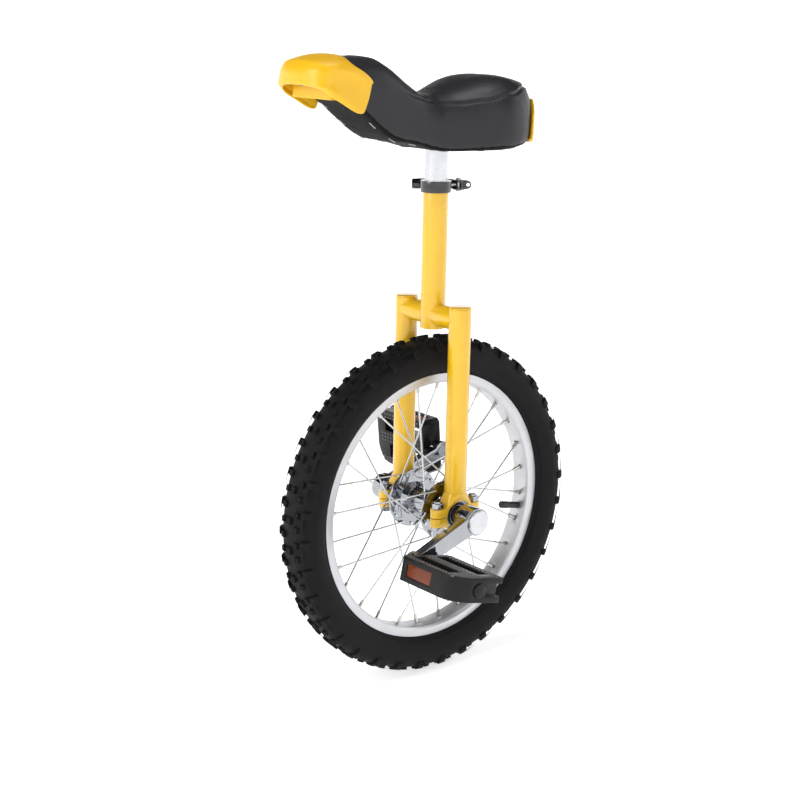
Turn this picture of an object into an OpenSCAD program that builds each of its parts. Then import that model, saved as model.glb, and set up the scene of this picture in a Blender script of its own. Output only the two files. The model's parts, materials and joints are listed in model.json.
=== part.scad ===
// Unicycle: laced wheel, split-housing fork, cranks, pedals, quick-release post and saddle.
// Millimetres. Origin on the ground under the axle, +X forward, +Y rider's left, +Z up.

/* [Wheel] */
// Diameter of the tyre's bead seat on the rim
bead_d = 305; // [280:1:320]
// Height of the tyre above the bead seat
tyre_h = 49.5; // [42:0.5:54]
// Width of the tyre over its knobs
tyre_w = 52.8; // [44:0.2:58]
// Thickness of the tyre's casing
tyre_wall = 4; // [3:0.5:6]
// Width of the rim over its flanges
rim_w = 28.6; // [24:0.2:32]
// Height of the rim's flange above the bead seat
rim_flange_h = 6.5; // [5:0.5:8]
// Thickness of the rim's walls
rim_wall = 2; // [1.5:0.1:3]
// Number of spokes
spoke_count = 28; // [20:4:36]
// Diameter of a spoke
spoke_d = 2; // [1.8:0.1:2.6]
// Where the first nipple sits around the rim, in degrees
nipple_phase = 4.9; // [0:0.1:12]
// Where the valve sits around the rim, in degrees
valve_angle = 191.3; // [180:0.1:200]

/* [Hub] */
// Distance between the hub's flange centres
flange_span = 58; // [50:1:62]
// Radius of the hub's flanges
flange_r = 35; // [30:1:40]
// Thickness of the hub's flanges
flange_t = 3; // [2:0.5:4]
// Radius of the hub's barrel
barrel_r = 15; // [12:1:20]
// Bore of the axle's bearings
bearing_id = 17; // [15:1:20]
// Outside diameter of the axle's bearings
bearing_od = 35; // [32:1:42]
// Width of the axle's bearings
bearing_w = 10; // [9:1:14]
// Number of balls in each bearing
ball_count = 10; // [7:1:10]
// Diameter of a bearing ball
ball_d = 4.76; // [4:0.02:5]

/* [Cranks and pedals] */
// Crank length from the axle to the pedal spindle
crank_len = 92; // [75:1:125]
// Angle of the left crank below the horizontal, in degrees
crank_angle = 20.5; // [0:0.5:90]
// Distance from the middle to a crank's outer face
crank_out = 88; // [84:1:96]
// Thickness of a crank's arm
crank_t = 12; // [9:1:14]
// Radius of a crank's boss on the axle
crank_boss_r = 16; // [14:0.5:18]
// Width across the axle's square ends
square_w = 13; // [11:0.5:14]
// Diameter of the pedal spindle in the pedal
spindle_d = 9; // [8:0.5:12]
// Length of a pedal body along its spindle
pedal_len = 93; // [80:1:110]
// Width of a pedal body across its spindle
pedal_w = 70; // [56:1:80]
// Thickness of a pedal body
pedal_t = 27; // [22:1:32]
// Tilt of the left pedal about its spindle at rest, in degrees
left_pedal_tilt = -12; // [-180:1:180]
// Tilt of the right pedal about its spindle at rest, in degrees
right_pedal_tilt = 95; // [-180:1:180]

/* [Fork] */
// Distance from the middle to each fork leg's centre
leg_y = 47.4; // [45:0.2:52]
// Outside diameter of a fork leg
leg_d = 25.4; // [22.2:0.2:28.6]
// Wall of the frame's tubes
tube_wall = 1.6; // [1.2:0.1:2.4]
// Gap between the tyre and the crown tube above it
crown_gap = 12.3; // [8:0.5:30]
// Outside diameter of the crown tube
crown_d = 25.4; // [22:0.2:28]
// Outside diameter of the seat tube
seat_tube_d = 28.6; // [28.6:0.1:31.8]
// Length of the seat tube above the crown tube's centre
seat_tube_len = 149; // [110:1:220]
// Wall of a bearing housing around its bearing
housing_wall = 4; // [3:0.5:6]
// Width of a bearing housing along the axle
housing_w = 16; // [14:0.5:18]
// Distance from the axle to each housing bolt
housing_bolt_x = 26.5; // [25:0.5:30]

/* [Seat post and clamp] */
// Outside diameter of the seat post
post_d = 25.4; // [22.2:0.2:25.4]
// Wall of the seat post
post_wall = 2.4; // [1.5:0.1:4]
// Length of seat post inside the seat tube
post_inside = 130; // [80:1:132]
// Length of seat post that shows above the clamp
post_shown = 33; // [24:1:120]
// Height of the clamp collar
collar_h = 12.5; // [10:0.5:18]
// Wall of the clamp collar
collar_wall = 3; // [2:0.5:5]
// Turn of the clamp about the seat tube, in degrees
clamp_turn = 141; // [0:1:359]

/* [Saddle] */
// Half width of the saddle's rear
saddle_rear_w = 71; // [64:1:80]
// Half width of the saddle's waist
saddle_waist_w = 40; // [36:1:50]
// Half width of the saddle's front
saddle_front_w = 39; // [34:1:44]
// How far the cover reaches behind the post
saddle_back = 113; // [105:1:130]
// How far the cover reaches in front of the post
saddle_front = 166; // [150:1:170]
// Thickness of the saddle's cover
cover_t = 1.6; // [1:0.1:3]
// Height of the saddle's moulded base
base_t = 25; // [23:0.5:30]

/* [Clearances] */
// Radial clearance of a running or sliding fit
run_fit = 0.05; // [0.02:0.01:0.09]
// Gap between soft pieces and what they lie against
soft_gap = 0.3; // [0.2:0.05:0.5]

/* [Hidden] */
$fn = 96;
eps = 0.01;

yellow = "#f2c21a";
black = "#1b1b1d";
chrome = "#c9ccd1";
silver = "#b4b6ba";
steel = "#8d9095";
orange = "#d8641a";

// Wheel heights and radii
bead_r = bead_d / 2;
tyre_r = bead_r + tyre_h;
axle_z = tyre_r;
rim_flange_r = bead_r + rim_flange_h;
rim_inner_r = bead_r - 5;

// Frame heights
crown_z = axle_z + tyre_r + crown_gap + crown_d / 2;
leg_top_z = crown_z + crown_d / 2 + 2.5;
leg_cap_t = 2;
leg_foot_z = axle_z + bearing_od / 2 + housing_wall + 5;
seat_tube_low_z = crown_z - seat_tube_d / 2 - 1.5;
seat_tube_top_z = crown_z + seat_tube_len;
seat_tube_bore = post_d + 2 * run_fit;

// Housing
housing_r = bearing_od / 2 + housing_wall;
housing_ear_h = 10.5;
housing_slit = 1.2;
housing_bolt_d = 8;
housing_nut_h = 7;
housing_nut_w = 13;

// Bearing races
ball_pitch_r = (bearing_id + bearing_od) / 4;
race_groove_r = ball_d / 2 + run_fit;
race_shoulder = 1.8;
race_inner_r = ball_pitch_r - race_shoulder;
seal_t = 0.8;
cage_t = 2.2;
cage_w = 6;

// Hub and axle
hub_end_y = flange_span / 2 + 6;
axle_core_r = bearing_id / 2 + 1.5;
crank_in = crank_out - 22;
square_end_y = crank_out - 8;
crank_bolt_d = 8;
dust_cap_r = 14;
dust_cap_t = 3;

spoke_hole_r = flange_r - 3.5;
nipple_r = 2;
nipple_hole_r = 2.9;
rim_ledge_y = 7;
valve_r = 4;
valve_cap_len = 14;
valve_cap_r0 = rim_inner_r - 29;
tube_seat_r = bead_r + 0.1 + (tyre_wall + soft_gap) / 4 - 0.06;

// Pedal
pedal_in_y = crank_out + 9;
pedal_barrel_r = 8.5;
pedal_hub_len = pedal_len - 12;
reflector_len = 40;
reflector_h = 15;
reflector_t = 3;
spindle_flange_r = 8;
spindle_thread_r = 7;
crank_eye_r = 12;
crank_cup_r = 11;
spindle_x = crank_len * cos(crank_angle);
spindle_z = crank_len * sin(crank_angle);

// Clamp
clamp_z = seat_tube_top_z + 2.5 - collar_h / 2;
collar_in_r = seat_tube_d / 2 + run_fit;
collar_r = collar_in_r + collar_wall;
ear_y = collar_r + 4.7;
ear_out_x = 13.5;
skewer_d = 5;
pivot_x = 26;
pivot_d = 6;
lever_barrel_r = 7;
lever_h = 11;
lever_arc_r = collar_r + 16;

// Saddle
saddle_low_z = clamp_z + collar_h / 2 + post_shown;
post_into_base = 12;
post_top_z = saddle_low_z + post_into_base;
plate_t = 3;
plate_bolt_x = 22;
plate_bolt_y = 14;
plate_bolt_d = 6;
saddle_bolt_up = base_t - post_into_base - plate_t - run_fit;
tnut_r = 7;
tnut_h = 3.5;
screw_d = 4;
screw_head_h = 1.4;

// ---------- helpers ----------

// Put a left-hand piece on the right as its mirror image.
module on_right() { mirror([0, 1, 0]) children(); }

// Stand a piece on the axle, with its own Z along the axle.
module at_axle(y = 0) { translate([0, y, axle_z]) rotate([-90, 0, 0]) children(); }

module ring(r_out, r_in, h, center = false) {
    difference() {
        cylinder(r = r_out, h = h, center = center);
        translate([0, 0, center ? 0 : -1]) cylinder(r = r_in, h = h + 2, center = center);
    }
}

module hex_nut(width, h, bore_r) {
    difference() {
        cylinder(d = width / cos(30), h = h, $fn = 6);
        translate([0, 0, -1]) cylinder(r = bore_r, h = h + 2);
    }
}

// Smooth value at x along a list of [x, value] points.
function ease(t) = t * t * (3 - 2 * t);
function along(pts, x, i = 0) =
    x <= pts[0][0] ? pts[0][1] :
    i >= len(pts) - 1 ? pts[len(pts) - 1][1] :
    x > pts[i + 1][0] ? along(pts, x, i + 1) :
    pts[i][1] + (pts[i + 1][1] - pts[i][1]) * ease((x - pts[i][0]) / (pts[i + 1][0] - pts[i][0]));

// A closed skin through rings of equal length, all wound the same way.
module loft(rings) {
    n = len(rings[0]);
    m = len(rings);
    polyhedron(
        points = [for (r = rings) each r],
        faces = concat(
            [[for (j = [0:n - 1]) j]],
            [for (i = [0:m - 2], j = [0:n - 1])
                [i * n + j, (i + 1) * n + j, (i + 1) * n + (j + 1) % n, i * n + (j + 1) % n]],
            [[for (j = [n - 1:-1:0]) (m - 1) * n + j]]
        )
    );
}

// ---------- frame ----------

module seat_tube() color(yellow) {
    difference() {
        translate([0, 0, seat_tube_low_z])
            cylinder(d = seat_tube_d, h = seat_tube_top_z - seat_tube_low_z);
        translate([0, 0, seat_tube_low_z - 1])
            cylinder(d = seat_tube_bore, h = seat_tube_top_z - seat_tube_low_z + 2);
        // compression slot under the clamp, in line with the collar's own slot
        rotate([0, 0, clamp_turn]) translate([-1.2, 0, seat_tube_top_z - 24])
            cube([2.4, seat_tube_d, 25]);
    }
}

module crown_tube() color(yellow) {
    difference() {
        translate([0, 0, crown_z]) rotate([90, 0, 0])
            ring(crown_d / 2, crown_d / 2 - tube_wall, 2 * leg_y, center = true);
        translate([0, 0, crown_z - crown_d]) cylinder(d = seat_tube_d, h = 2 * crown_d);
        for (side = [-1, 1]) translate([0, side * leg_y, crown_z - crown_d])
            cylinder(d = leg_d, h = 2 * crown_d);
    }
}

module fork_leg() color(yellow) {
    translate([0, leg_y, leg_foot_z])
        ring(leg_d / 2, leg_d / 2 - tube_wall, leg_top_z - leg_cap_t - leg_foot_z);
}

module leg_cap() color(yellow) {
    translate([0, leg_y, leg_top_z - leg_cap_t]) cylinder(d = leg_d, h = leg_cap_t);
}

// Half of a split bearing housing's outline, with its bolt ears.
module housing_half() {
    intersection() {
        union() {
            cylinder(r = housing_r, h = housing_w, center = true);
            for (side = [-1, 1]) {
                translate([side * housing_bolt_x, 0, 0]) rotate([90, 0, 0])
                    cylinder(r = housing_w / 2, h = 2 * housing_ear_h, center = true);
                translate([side * housing_bolt_x / 2, 0, 0])
                    cube([housing_bolt_x, 2 * housing_ear_h, housing_w], center = true);
            }
        }
        translate([-60, -60 - housing_slit / 2, -housing_w]) cube([120, 60, 2 * housing_w]);
    }
}

module housing_holes() {
    cylinder(d = bearing_od + run_fit, h = 2 * housing_w, center = true);
    for (side = [-1, 1]) translate([side * housing_bolt_x, 0, 0]) rotate([90, 0, 0])
        cylinder(d = housing_bolt_d + 4 * run_fit, h = 60, center = true);
}

module bearing_seat() color(yellow) {
    difference() {
        union() {
            at_axle(leg_y) housing_half();
            hull() {
                translate([0, leg_y, leg_foot_z - 1]) cylinder(d = leg_d, h = 1, $fn = 32);
                translate([0, leg_y, axle_z + housing_ear_h]) 
                    cube([2 * housing_bolt_x - housing_nut_w - 4, housing_w, 2], center = true);
            }
        }
        at_axle(leg_y) housing_holes();
    }
}

module bearing_cap() color(yellow) {
    difference() {
        at_axle(leg_y) rotate([0, 0, 180]) housing_half();
        at_axle(leg_y) housing_holes();
    }
}

module bearing_cap_bolts() color(chrome) {
    for (side = [-1, 1], x = [-1, 1]) translate([x * housing_bolt_x, side * leg_y, axle_z]) {
        translate([0, 0, -housing_ear_h]) cylinder(d = housing_bolt_d, h = 2 * housing_ear_h + 9);
        translate([0, 0, -housing_ear_h - 5.3]) cylinder(d = housing_nut_w / cos(30), h = 5.3, $fn = 6);
    }
}

module bearing_cap_nuts() color(chrome) {
    for (side = [-1, 1], x = [-1, 1])
        translate([x * housing_bolt_x, side * leg_y, axle_z + housing_ear_h])
            hex_nut(housing_nut_w, housing_nut_h, housing_bolt_d / 2 + run_fit);
}

// ---------- bearings ----------

module race_groove() {
    rotate_extrude() translate([ball_pitch_r, 0]) circle(r = race_groove_r, $fn = 48);
}

module outer_race() color(steel) {
    at_axle(leg_y) difference() {
        ring(bearing_od / 2, ball_pitch_r + race_shoulder, bearing_w, center = true);
        race_groove();
    }
}

module inner_race() color(steel) {
    at_axle(leg_y) difference() {
        ring(race_inner_r, bearing_id / 2, bearing_w, center = true);
        race_groove();
    }
}

module bearing_seals() color(black) {
    for (side = [-1, 1], face = [-1, 1])
        at_axle(side * leg_y + face * (bearing_w - seal_t) / 2)
            ring(ball_pitch_r + race_shoulder, race_inner_r + soft_gap, seal_t, center = true);
}

module bearing_balls() color(chrome) {
    at_axle(leg_y) for (i = [0:ball_count - 1]) rotate([0, 0, i * 360 / ball_count])
        translate([ball_pitch_r, 0, 0]) sphere(d = ball_d, $fn = 48);
}

module ball_cage() color(steel) {
    at_axle(leg_y) difference() {
        ring(ball_pitch_r + cage_t / 2, ball_pitch_r - cage_t / 2, cage_w, center = true);
        for (i = [0:ball_count - 1]) rotate([0, 0, i * 360 / ball_count])
            translate([ball_pitch_r, 0, 0]) rotate([0, 90, 0])
                cylinder(r = race_groove_r, h = 3 * cage_t, center = true);
    }
}

// ---------- clamp ----------

module at_clamp() { translate([0, 0, clamp_z]) rotate([0, 0, clamp_turn]) children(); }

module clamp_collar() color(black) {
    at_clamp() difference() {
        union() {
            cylinder(r = collar_r, h = collar_h, center = true);
            for (side = [-1, 1]) translate([side * ear_out_x / 2, ear_y / 2, 0])
                cube([ear_out_x, ear_y, collar_h - 1], center = true);
            translate([0, ear_y, 0]) rotate([0, 90, 0])
                cylinder(d = collar_h - 1, h = 2 * ear_out_x, center = true);
        }
        // the tube's seat, and the smaller hole in the lip that rests on the tube's end
        translate([0, 0, -collar_h / 2 - 1])
            cylinder(r = collar_in_r, h = seat_tube_top_z - clamp_z + collar_h / 2 + 1);
        cylinder(r = post_d / 2 + 4 * run_fit, h = 2 * collar_h, center = true);
        translate([-1.2, 0, -collar_h]) cube([2.4, 2 * collar_r + 20, 2 * collar_h]);
        translate([0, ear_y, 0]) rotate([0, 90, 0])
            cylinder(d = skewer_d + 4 * run_fit, h = 60, center = true);
    }
}

module clamp_skewer() color(steel) {
    at_clamp() translate([-ear_out_x - 12, ear_y, 0]) rotate([0, 90, 0])
        cylinder(d = skewer_d, h = ear_out_x + 12 + pivot_x - pivot_d / 2);
}

module clamp_adjusting_nut() color(black) {
    at_clamp() translate([-ear_out_x, ear_y, 0]) rotate([0, -90, 0]) difference() {
        union() {
            cylinder(r = 5.8, h = 13);
            cylinder(r = 4.6, h = 13.6);
        }
        translate([0, 0, -1]) cylinder(d = skewer_d + 2 * run_fit, h = 13);
    }
}

module clamp_pivot_pin() color(steel) {
    at_clamp() translate([pivot_x, ear_y, 0]) difference() {
        cylinder(d = pivot_d, h = lever_h + 4, center = true);
        translate([-pivot_d, 0, 0]) rotate([0, 90, 0]) cylinder(d = skewer_d, h = pivot_d / 2);
    }
}

module clamp_lever() color(black) {
    tail = 10;
    arm_in = 4;
    arm_h = lever_h - 1;
    lever_rise = 6;
    slot_half = skewer_d / 2 + 0.4;
    arc_start_x = sqrt(lever_arc_r * lever_arc_r - (ear_y + lever_rise) * (ear_y + lever_rise));
    at_clamp() difference() {
        union() {
            translate([pivot_x, ear_y, 0]) {
                cylinder(r = lever_barrel_r, h = lever_h, center = true);
                translate([arm_in, -2, -arm_h / 2]) cube([tail - arm_in, 4, arm_h]);
                translate([tail, 0, 0]) rotate([90, 0, 0]) cylinder(d = arm_h - 1, h = 5, center = true);
                rotate([0, 0, atan2(lever_rise, arc_start_x - pivot_x)]) translate([arm_in, -2, -arm_h / 2])
                    cube([norm([lever_rise, arc_start_x - pivot_x]) + 1 - arm_in, 4, arm_h]);
            }
            difference() {
                ring(lever_arc_r + 2, lever_arc_r - 2, lever_h, center = true);
                translate([-60, -60, -lever_h]) cube([120, 60 + ear_y + lever_rise, 2 * lever_h]);
            }
        }
        translate([pivot_x, ear_y, 0]) {
            cylinder(d = pivot_d + 2 * run_fit, h = 2 * lever_h, center = true);
            translate([tail + 1, 0, 0]) rotate([90, 0, 0]) cylinder(d = 4.2, h = 20, center = true);
            // room for the skewer as the lever opens
            translate([-lever_barrel_r - 2, -lever_barrel_r - 2, -slot_half])
                cube([lever_barrel_r + 2 + slot_half, lever_barrel_r + 2 + slot_half, 2 * slot_half]);
        }
    }
}

// ---------- seat post ----------

module seatpost() color(silver) {
    translate([0, 0, seat_tube_top_z - post_inside])
        ring(post_d / 2, post_d / 2 - post_wall, post_top_z - seat_tube_top_z + post_inside);
}

module seatpost_plate() color(silver) {
    difference() {
        translate([0, 0, post_top_z + plate_t / 2])
            cube([2 * plate_bolt_x + 16, 2 * plate_bolt_y + 14, plate_t], center = true);
        for (x = [-1, 1], y = [-1, 1])
            translate([x * plate_bolt_x, y * plate_bolt_y, post_top_z - 1])
                cylinder(d = plate_bolt_d + 6 * run_fit, h = plate_t + 2);
    }
}

// ---------- saddle ----------

// Centre lines of the saddle, as heights above its lowest edge, along X.
saddle_top = [[-saddle_back, 66], [-96, 79], [-58, 84], [30, 63], [112, 104], [saddle_front, 104]];
saddle_bottom = [[-saddle_back, 8], [-40, 1], [15, 0], [72, 11], [saddle_front, 62]];

// Half width of the saddle's outline at x, drawn in by off all round.
function rear_round(x, off) =
    sqrt(max(0, 1 - pow(max(0, -50 - x) / (saddle_back - off - 50), 2)));
function front_round(x, off) =
    sqrt(max(0, 1 - pow(max(0, x - (saddle_front - 34)) / (34 - off), 3)));
function saddle_half(x, off) =
    (along([[-50, saddle_rear_w], [40, saddle_waist_w], [saddle_front, saddle_front_w]], x) - off)
    * max(0.12, rear_round(x, off) * front_round(x, off));

// Ring of the saddle's section at x: a flat bottom, upright sides and a crowned top.
function saddle_ring(x, off, n = 28) =
    let (w = saddle_half(x, off),
         low = saddle_low_z + along(saddle_bottom, x) + off,
         high = saddle_low_z + along(saddle_top, x) - off,
         mid = low + (high - low) * 0.45)
    [for (j = [0:n - 1]) let (a = 360 * (j + 0.5) / n, c = cos(a), s = sin(a))
        [x, w * sign(c) * pow(abs(c), s > 0 ? 0.62 : 0.3),
            mid + (s > 0 ? (high - mid) * pow(s, 0.85) : -(mid - low) * pow(-s, 0.3))]];

// Whole saddle shape, drawn in by off all round.
module saddle_shape(off) {
    x0 = -saddle_back + off;
    x1 = saddle_front - off;
    steps = 22;
    loft([for (i = [0:steps]) let (t = i / steps) saddle_ring(x0 + (x1 - x0) * (1 - cos(180 * t)) / 2, off)]);
}

// Everything below the saddle's bottom line raised by h.
module below_line(h) {
    rotate([90, 0, 0]) linear_extrude(height = 220, center = true)
        polygon(concat(
            [[saddle_front + 40, saddle_low_z - 60], [-saddle_back - 40, saddle_low_z - 60]],
            [for (x = [-saddle_back - 40:12:saddle_front + 44])
                [x, saddle_low_z + along(saddle_bottom, x) + h]]
        ));
}

// Holes of the screws that hold both bumpers, along X.
module at_bumper_screws() {
    for (y = [-1, 1]) {
        translate([saddle_front + 6, y * 17, saddle_low_z + 76]) rotate([0, -90, 0]) children();
        translate([-saddle_back - 1.6, y * 20, saddle_low_z + 20]) rotate([0, 90, 0]) children();
    }
}

module saddle_base() color(black) {
    difference() {
        intersection() {
            saddle_shape(cover_t + soft_gap);
            below_line(base_t);
        }
        translate([0, 0, saddle_low_z - 20])
            linear_extrude(height = 20 + post_top_z + plate_t - saddle_low_z)
                square([2 * plate_bolt_x + 17, 2 * plate_bolt_y + 15], center = true);
        for (x = [-1, 1], y = [-1, 1]) translate([x * plate_bolt_x, y * plate_bolt_y, post_top_z]) {
            cylinder(d = plate_bolt_d + 2 * run_fit, h = 60);
            translate([0, 0, plate_t + saddle_bolt_up - tnut_h]) cylinder(r = tnut_r + run_fit, h = 60);
        }
        at_bumper_screws() translate([0, 0, -20]) cylinder(d = screw_d, h = 38);
    }
}

module saddle_foam() color("#3a3a3c") {
    difference() {
        saddle_shape(cover_t + soft_gap);
        below_line(base_t + soft_gap);
    }
}

module saddle_cover() color(black) {
    difference() {
        saddle_shape(0);
        saddle_shape(cover_t);
        below_line(cover_t + 1);
        at_bumper_screws() translate([0, 0, -20]) cylinder(d = screw_d, h = 38);
    }
}

module saddle_bolts() color(steel) {
    for (x = [-1, 1], y = [-1, 1]) translate([x * plate_bolt_x, y * plate_bolt_y, post_top_z]) {
        translate([0, 0, -4]) cylinder(d = 10 / cos(30), h = 4, $fn = 6);
        cylinder(d = plate_bolt_d, h = plate_t + saddle_bolt_up);
    }
}

module saddle_nuts() color(steel) {
    for (x = [-1, 1], y = [-1, 1])
        translate([x * plate_bolt_x, y * plate_bolt_y, post_top_z + plate_t + saddle_bolt_up - tnut_h])
            ring(tnut_r, plate_bolt_d / 2 + run_fit, tnut_h);
}

// A side outline of the saddle, as [x, height] points, carried across its width.
module across(points, width) {
    translate([0, 0, saddle_low_z]) rotate([90, 0, 0])
        linear_extrude(height = width, center = true) polygon(points);
}

module front_bumper() color(yellow) {
    nose = saddle_front + 31;
    half = saddle_front_w + 7;
    difference() {
        union() {
            // side flaps and front wall, wrapped round the cushion
            difference() {
                saddle_shape(-3.2);
                across([[saddle_front - 41, 74], [saddle_front - 30, 46], [saddle_front - 18, 50],
                        [saddle_front - 8, 56], [saddle_front + 60, 56], [saddle_front + 60, -60],
                        [-200, -60], [-200, 200], [saddle_front - 14, 200], [saddle_front - 14, 102],
                        [saddle_front - 30, 89]], 300);
            }
            // grab lip with a finger hollow behind its skirt
            intersection() {
                across([[saddle_front - 6, 107], [saddle_front + 18, 103], [nose - 3, 96], [nose, 90],
                        [nose + 1, 78], [nose - 5, 76], [nose - 7, 86], [nose - 12, 88.5],
                        [saddle_front + 9, 87], [saddle_front + 6, 84], [saddle_front + 6, 56],
                        [saddle_front - 6, 56]], 2 * half);
                translate([0, 0, saddle_low_z]) linear_extrude(height = 120) polygon(concat(
                    [[saddle_front - 20, -half], [saddle_front + 8, -half]],
                    [for (a = [-80:20:80]) [saddle_front + 8 + 24 * pow(cos(a), 0.55), half * sin(a)]],
                    [[saddle_front + 8, half], [saddle_front - 20, half]]
                ));
            }
        }
        saddle_shape(-soft_gap);
        at_bumper_screws() translate([0, 0, -20]) cylinder(d = screw_d, h = 38);
    }
}

module rear_bumper() color(yellow) {
    difference() {
        intersection() {
            saddle_shape(-4.5);
            across([[-200, 12], [-saddle_back + 16, 9], [-saddle_back + 26, 13], [-saddle_back + 25, 36],
                    [-saddle_back + 14, 58], [-200, 61]], 300);
        }
        saddle_shape(-soft_gap);
        at_bumper_screws() {
            translate([0, 0, -20]) cylinder(d = screw_d, h = 38);
            // flat seat for the low head
            translate([0, 0, -20]) cylinder(r = screw_d + run_fit, h = 20);
        }
    }
}

module bumper_screws() color(steel) {
    at_bumper_screws() {
        cylinder(d = screw_d, h = 18);
        translate([0, 0, -screw_head_h]) cylinder(r = screw_d, h = screw_head_h);
    }
}

// ---------- rim, tyre and tube ----------

// Outline of the tyre's section from one bead over the tread to the other, drawn in by
// side at the walls and crown at the tread, as [radius, y] points.
function tyre_edge(side, crown) =
    let (wide_r = bead_r + 0.5 * tyre_h, wide = tyre_w / 2 - side,
         foot = rim_w / 2 - rim_wall - run_fit - side)
    concat(
        [[bead_r + 0.1 + side / 4, foot], [rim_flange_r + 0.6, foot]],
        side > 0 ? [] : [[rim_flange_r + 0.6, rim_w / 2 + 0.8]],
        [for (a = [-50:10:180 + 50]) let (c = cos(a), s = sin(a))
            [wide_r + (s > 0 ? (tyre_r - crown - wide_r) * pow(s, 0.8) : (wide_r - rim_flange_r - 3) * s),
             wide * sign(c) * pow(abs(c), s > 0 ? 0.72 : 0.55)]],
        side > 0 ? [] : [[rim_flange_r + 0.6, -rim_w / 2 - 0.8]],
        [[rim_flange_r + 0.6, -foot], [bead_r + 0.1 + side / 4, -foot]]
    );

module tyre() color(black) {
    at_axle() rotate_extrude($fn = 180) difference() {
        polygon(tyre_edge(0, 0));
        polygon(concat([[bead_r - 2, tyre_edge(tyre_wall, 2 * tyre_wall)[0][1]]],
            tyre_edge(tyre_wall, 2 * tyre_wall),
            [[bead_r - 2, -tyre_edge(tyre_wall, 2 * tyre_wall)[0][1]]]));
    }
}

module inner_tube() color("#2b2b2b") {
    outer = tyre_edge(tyre_wall + soft_gap, 2 * tyre_wall + soft_gap);
    inner = tyre_edge(tyre_wall + 1.8, 2 * tyre_wall + 1.8);
    at_axle() rotate_extrude($fn = 120) difference() {
        polygon(outer);
        polygon([for (p = inner) [max(p[0], bead_r + 3.4), p[1]]]);
    }
}

module rim_tape() color("#4a4a4d") {
    difference() {
        at_axle() ring(bead_r + 0.7, bead_r, 2 * (rim_ledge_y + 1), center = true);
        around_wheel(valve_angle) radial(4, bead_r - 10, bead_r + 10);
    }
}

// Turn to a direction around the wheel: +X then points outwards from the axle.
module around_wheel(angle) { translate([0, 0, axle_z]) rotate([0, -angle, 0]) children(); }

// A round bar along a radius of the wheel, from r0 to r1.
module radial(r, r0, r1) { translate([r0, 0, 0]) rotate([0, 90, 0]) cylinder(r = r, h = r1 - r0); }

// A round bar between two points.
module rod(a, b, d) {
    v = b - a;
    translate(a) rotate([0, acos(v[2] / norm(v)), atan2(v[1], v[0])]) cylinder(d = d, h = norm(v));
}

function nipple_angle(k) = nipple_phase + k * 360 / spoke_count;

module rim() color(silver) {
    side = rim_w / 2;
    well_r = rim_inner_r + rim_wall;
    difference() {
        at_axle() rotate_extrude($fn = 180) polygon([
            [rim_inner_r, -side + 4.5], [rim_inner_r + 0.8, -side + 1.8], [rim_inner_r + 3, -side],
            [rim_flange_r, -side], [rim_flange_r, -side + rim_wall], [bead_r, -side + rim_wall],
            [bead_r, -rim_ledge_y], [well_r, -rim_ledge_y + 1.5],
            [well_r, rim_ledge_y - 1.5], [bead_r, rim_ledge_y],
            [bead_r, side - rim_wall], [rim_flange_r, side - rim_wall], [rim_flange_r, side],
            [rim_inner_r + 3, side], [rim_inner_r + 0.8, side - 1.8], [rim_inner_r, side - 4.5]
        ]);
        for (k = [0:spoke_count - 1]) around_wheel(nipple_angle(k))
            radial(nipple_hole_r, rim_inner_r - 5, bead_r);
        around_wheel(valve_angle) radial(valve_r + 0.15, rim_inner_r - 5, bead_r);
    }
}

module valve_stem() color(black) {
    around_wheel(valve_angle) {
        radial(valve_r, valve_cap_r0 + valve_cap_len - 3, tube_seat_r);
        radial(valve_r - 1, valve_cap_r0 + 3, tube_seat_r - 10);
    }
}

module valve_cap() color(black) {
    around_wheel(valve_angle) difference() {
        radial(valve_r + 0.3, valve_cap_r0, valve_cap_r0 + valve_cap_len - 3);
        radial(valve_r - 1 + run_fit, valve_cap_r0 + 3 - eps, valve_cap_r0 + valve_cap_len);
    }
}

// Two-cross lacing: even spokes go to the left flange, odd ones to the right. On each flange
// they take turns to lead from its outside and trail from its inside.
function spoke_side(k) = k % 2 == 0 ? 1 : -1;
function spoke_leads(k) = floor(k / 2) % 2 == 0;
function spoke_turn(k) = (spoke_leads(k) ? 1 : -1) * 2 * 720 / spoke_count;
function spoke_foot(k) =
    let (t = spoke_turn(k), lie = (flange_t + spoke_d) / 2, out = spoke_leads(k) ? lie + 1.7 : -lie - 0.1)
    [spoke_hole_r * cos(t), spoke_side(k) * (flange_span / 2 + out), spoke_hole_r * sin(t)];
spoke_end = [bead_r - 2.5, 0, 0];

module spokes() color(chrome) {
    for (k = [0:spoke_count - 1]) around_wheel(nipple_angle(k)) {
        foot = spoke_foot(k);
        mid = spoke_side(k) * flange_span / 2;
        out = sign(foot[1] - mid);
        head = mid - out * (flange_t / 2 + 0.05);
        rod(foot, spoke_end, spoke_d);
        rod([foot[0], head - out * 0.5, foot[2]], foot + [0, out * 0.9, 0], 1.1 * spoke_d);
        rod([foot[0], head - out * 1.1, foot[2]], [foot[0], head, foot[2]], 1.9 * spoke_d);
    }
}

module nipples() color(silver) {
    for (k = [0:spoke_count - 1]) around_wheel(nipple_angle(k)) {
        aim = (spoke_foot(k) - spoke_end) / norm(spoke_foot(k) - spoke_end);
        difference() {
            union() {
                rod(spoke_end, spoke_end + aim * 12, 2 * nipple_r);
                radial(nipple_r + 1.5, rim_inner_r + rim_wall, bead_r - 1.2);
            }
            rod(spoke_end - aim * 4, spoke_foot(k), spoke_d + 2 * run_fit);
        }
    }
}

// ---------- hub and axle ----------

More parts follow.
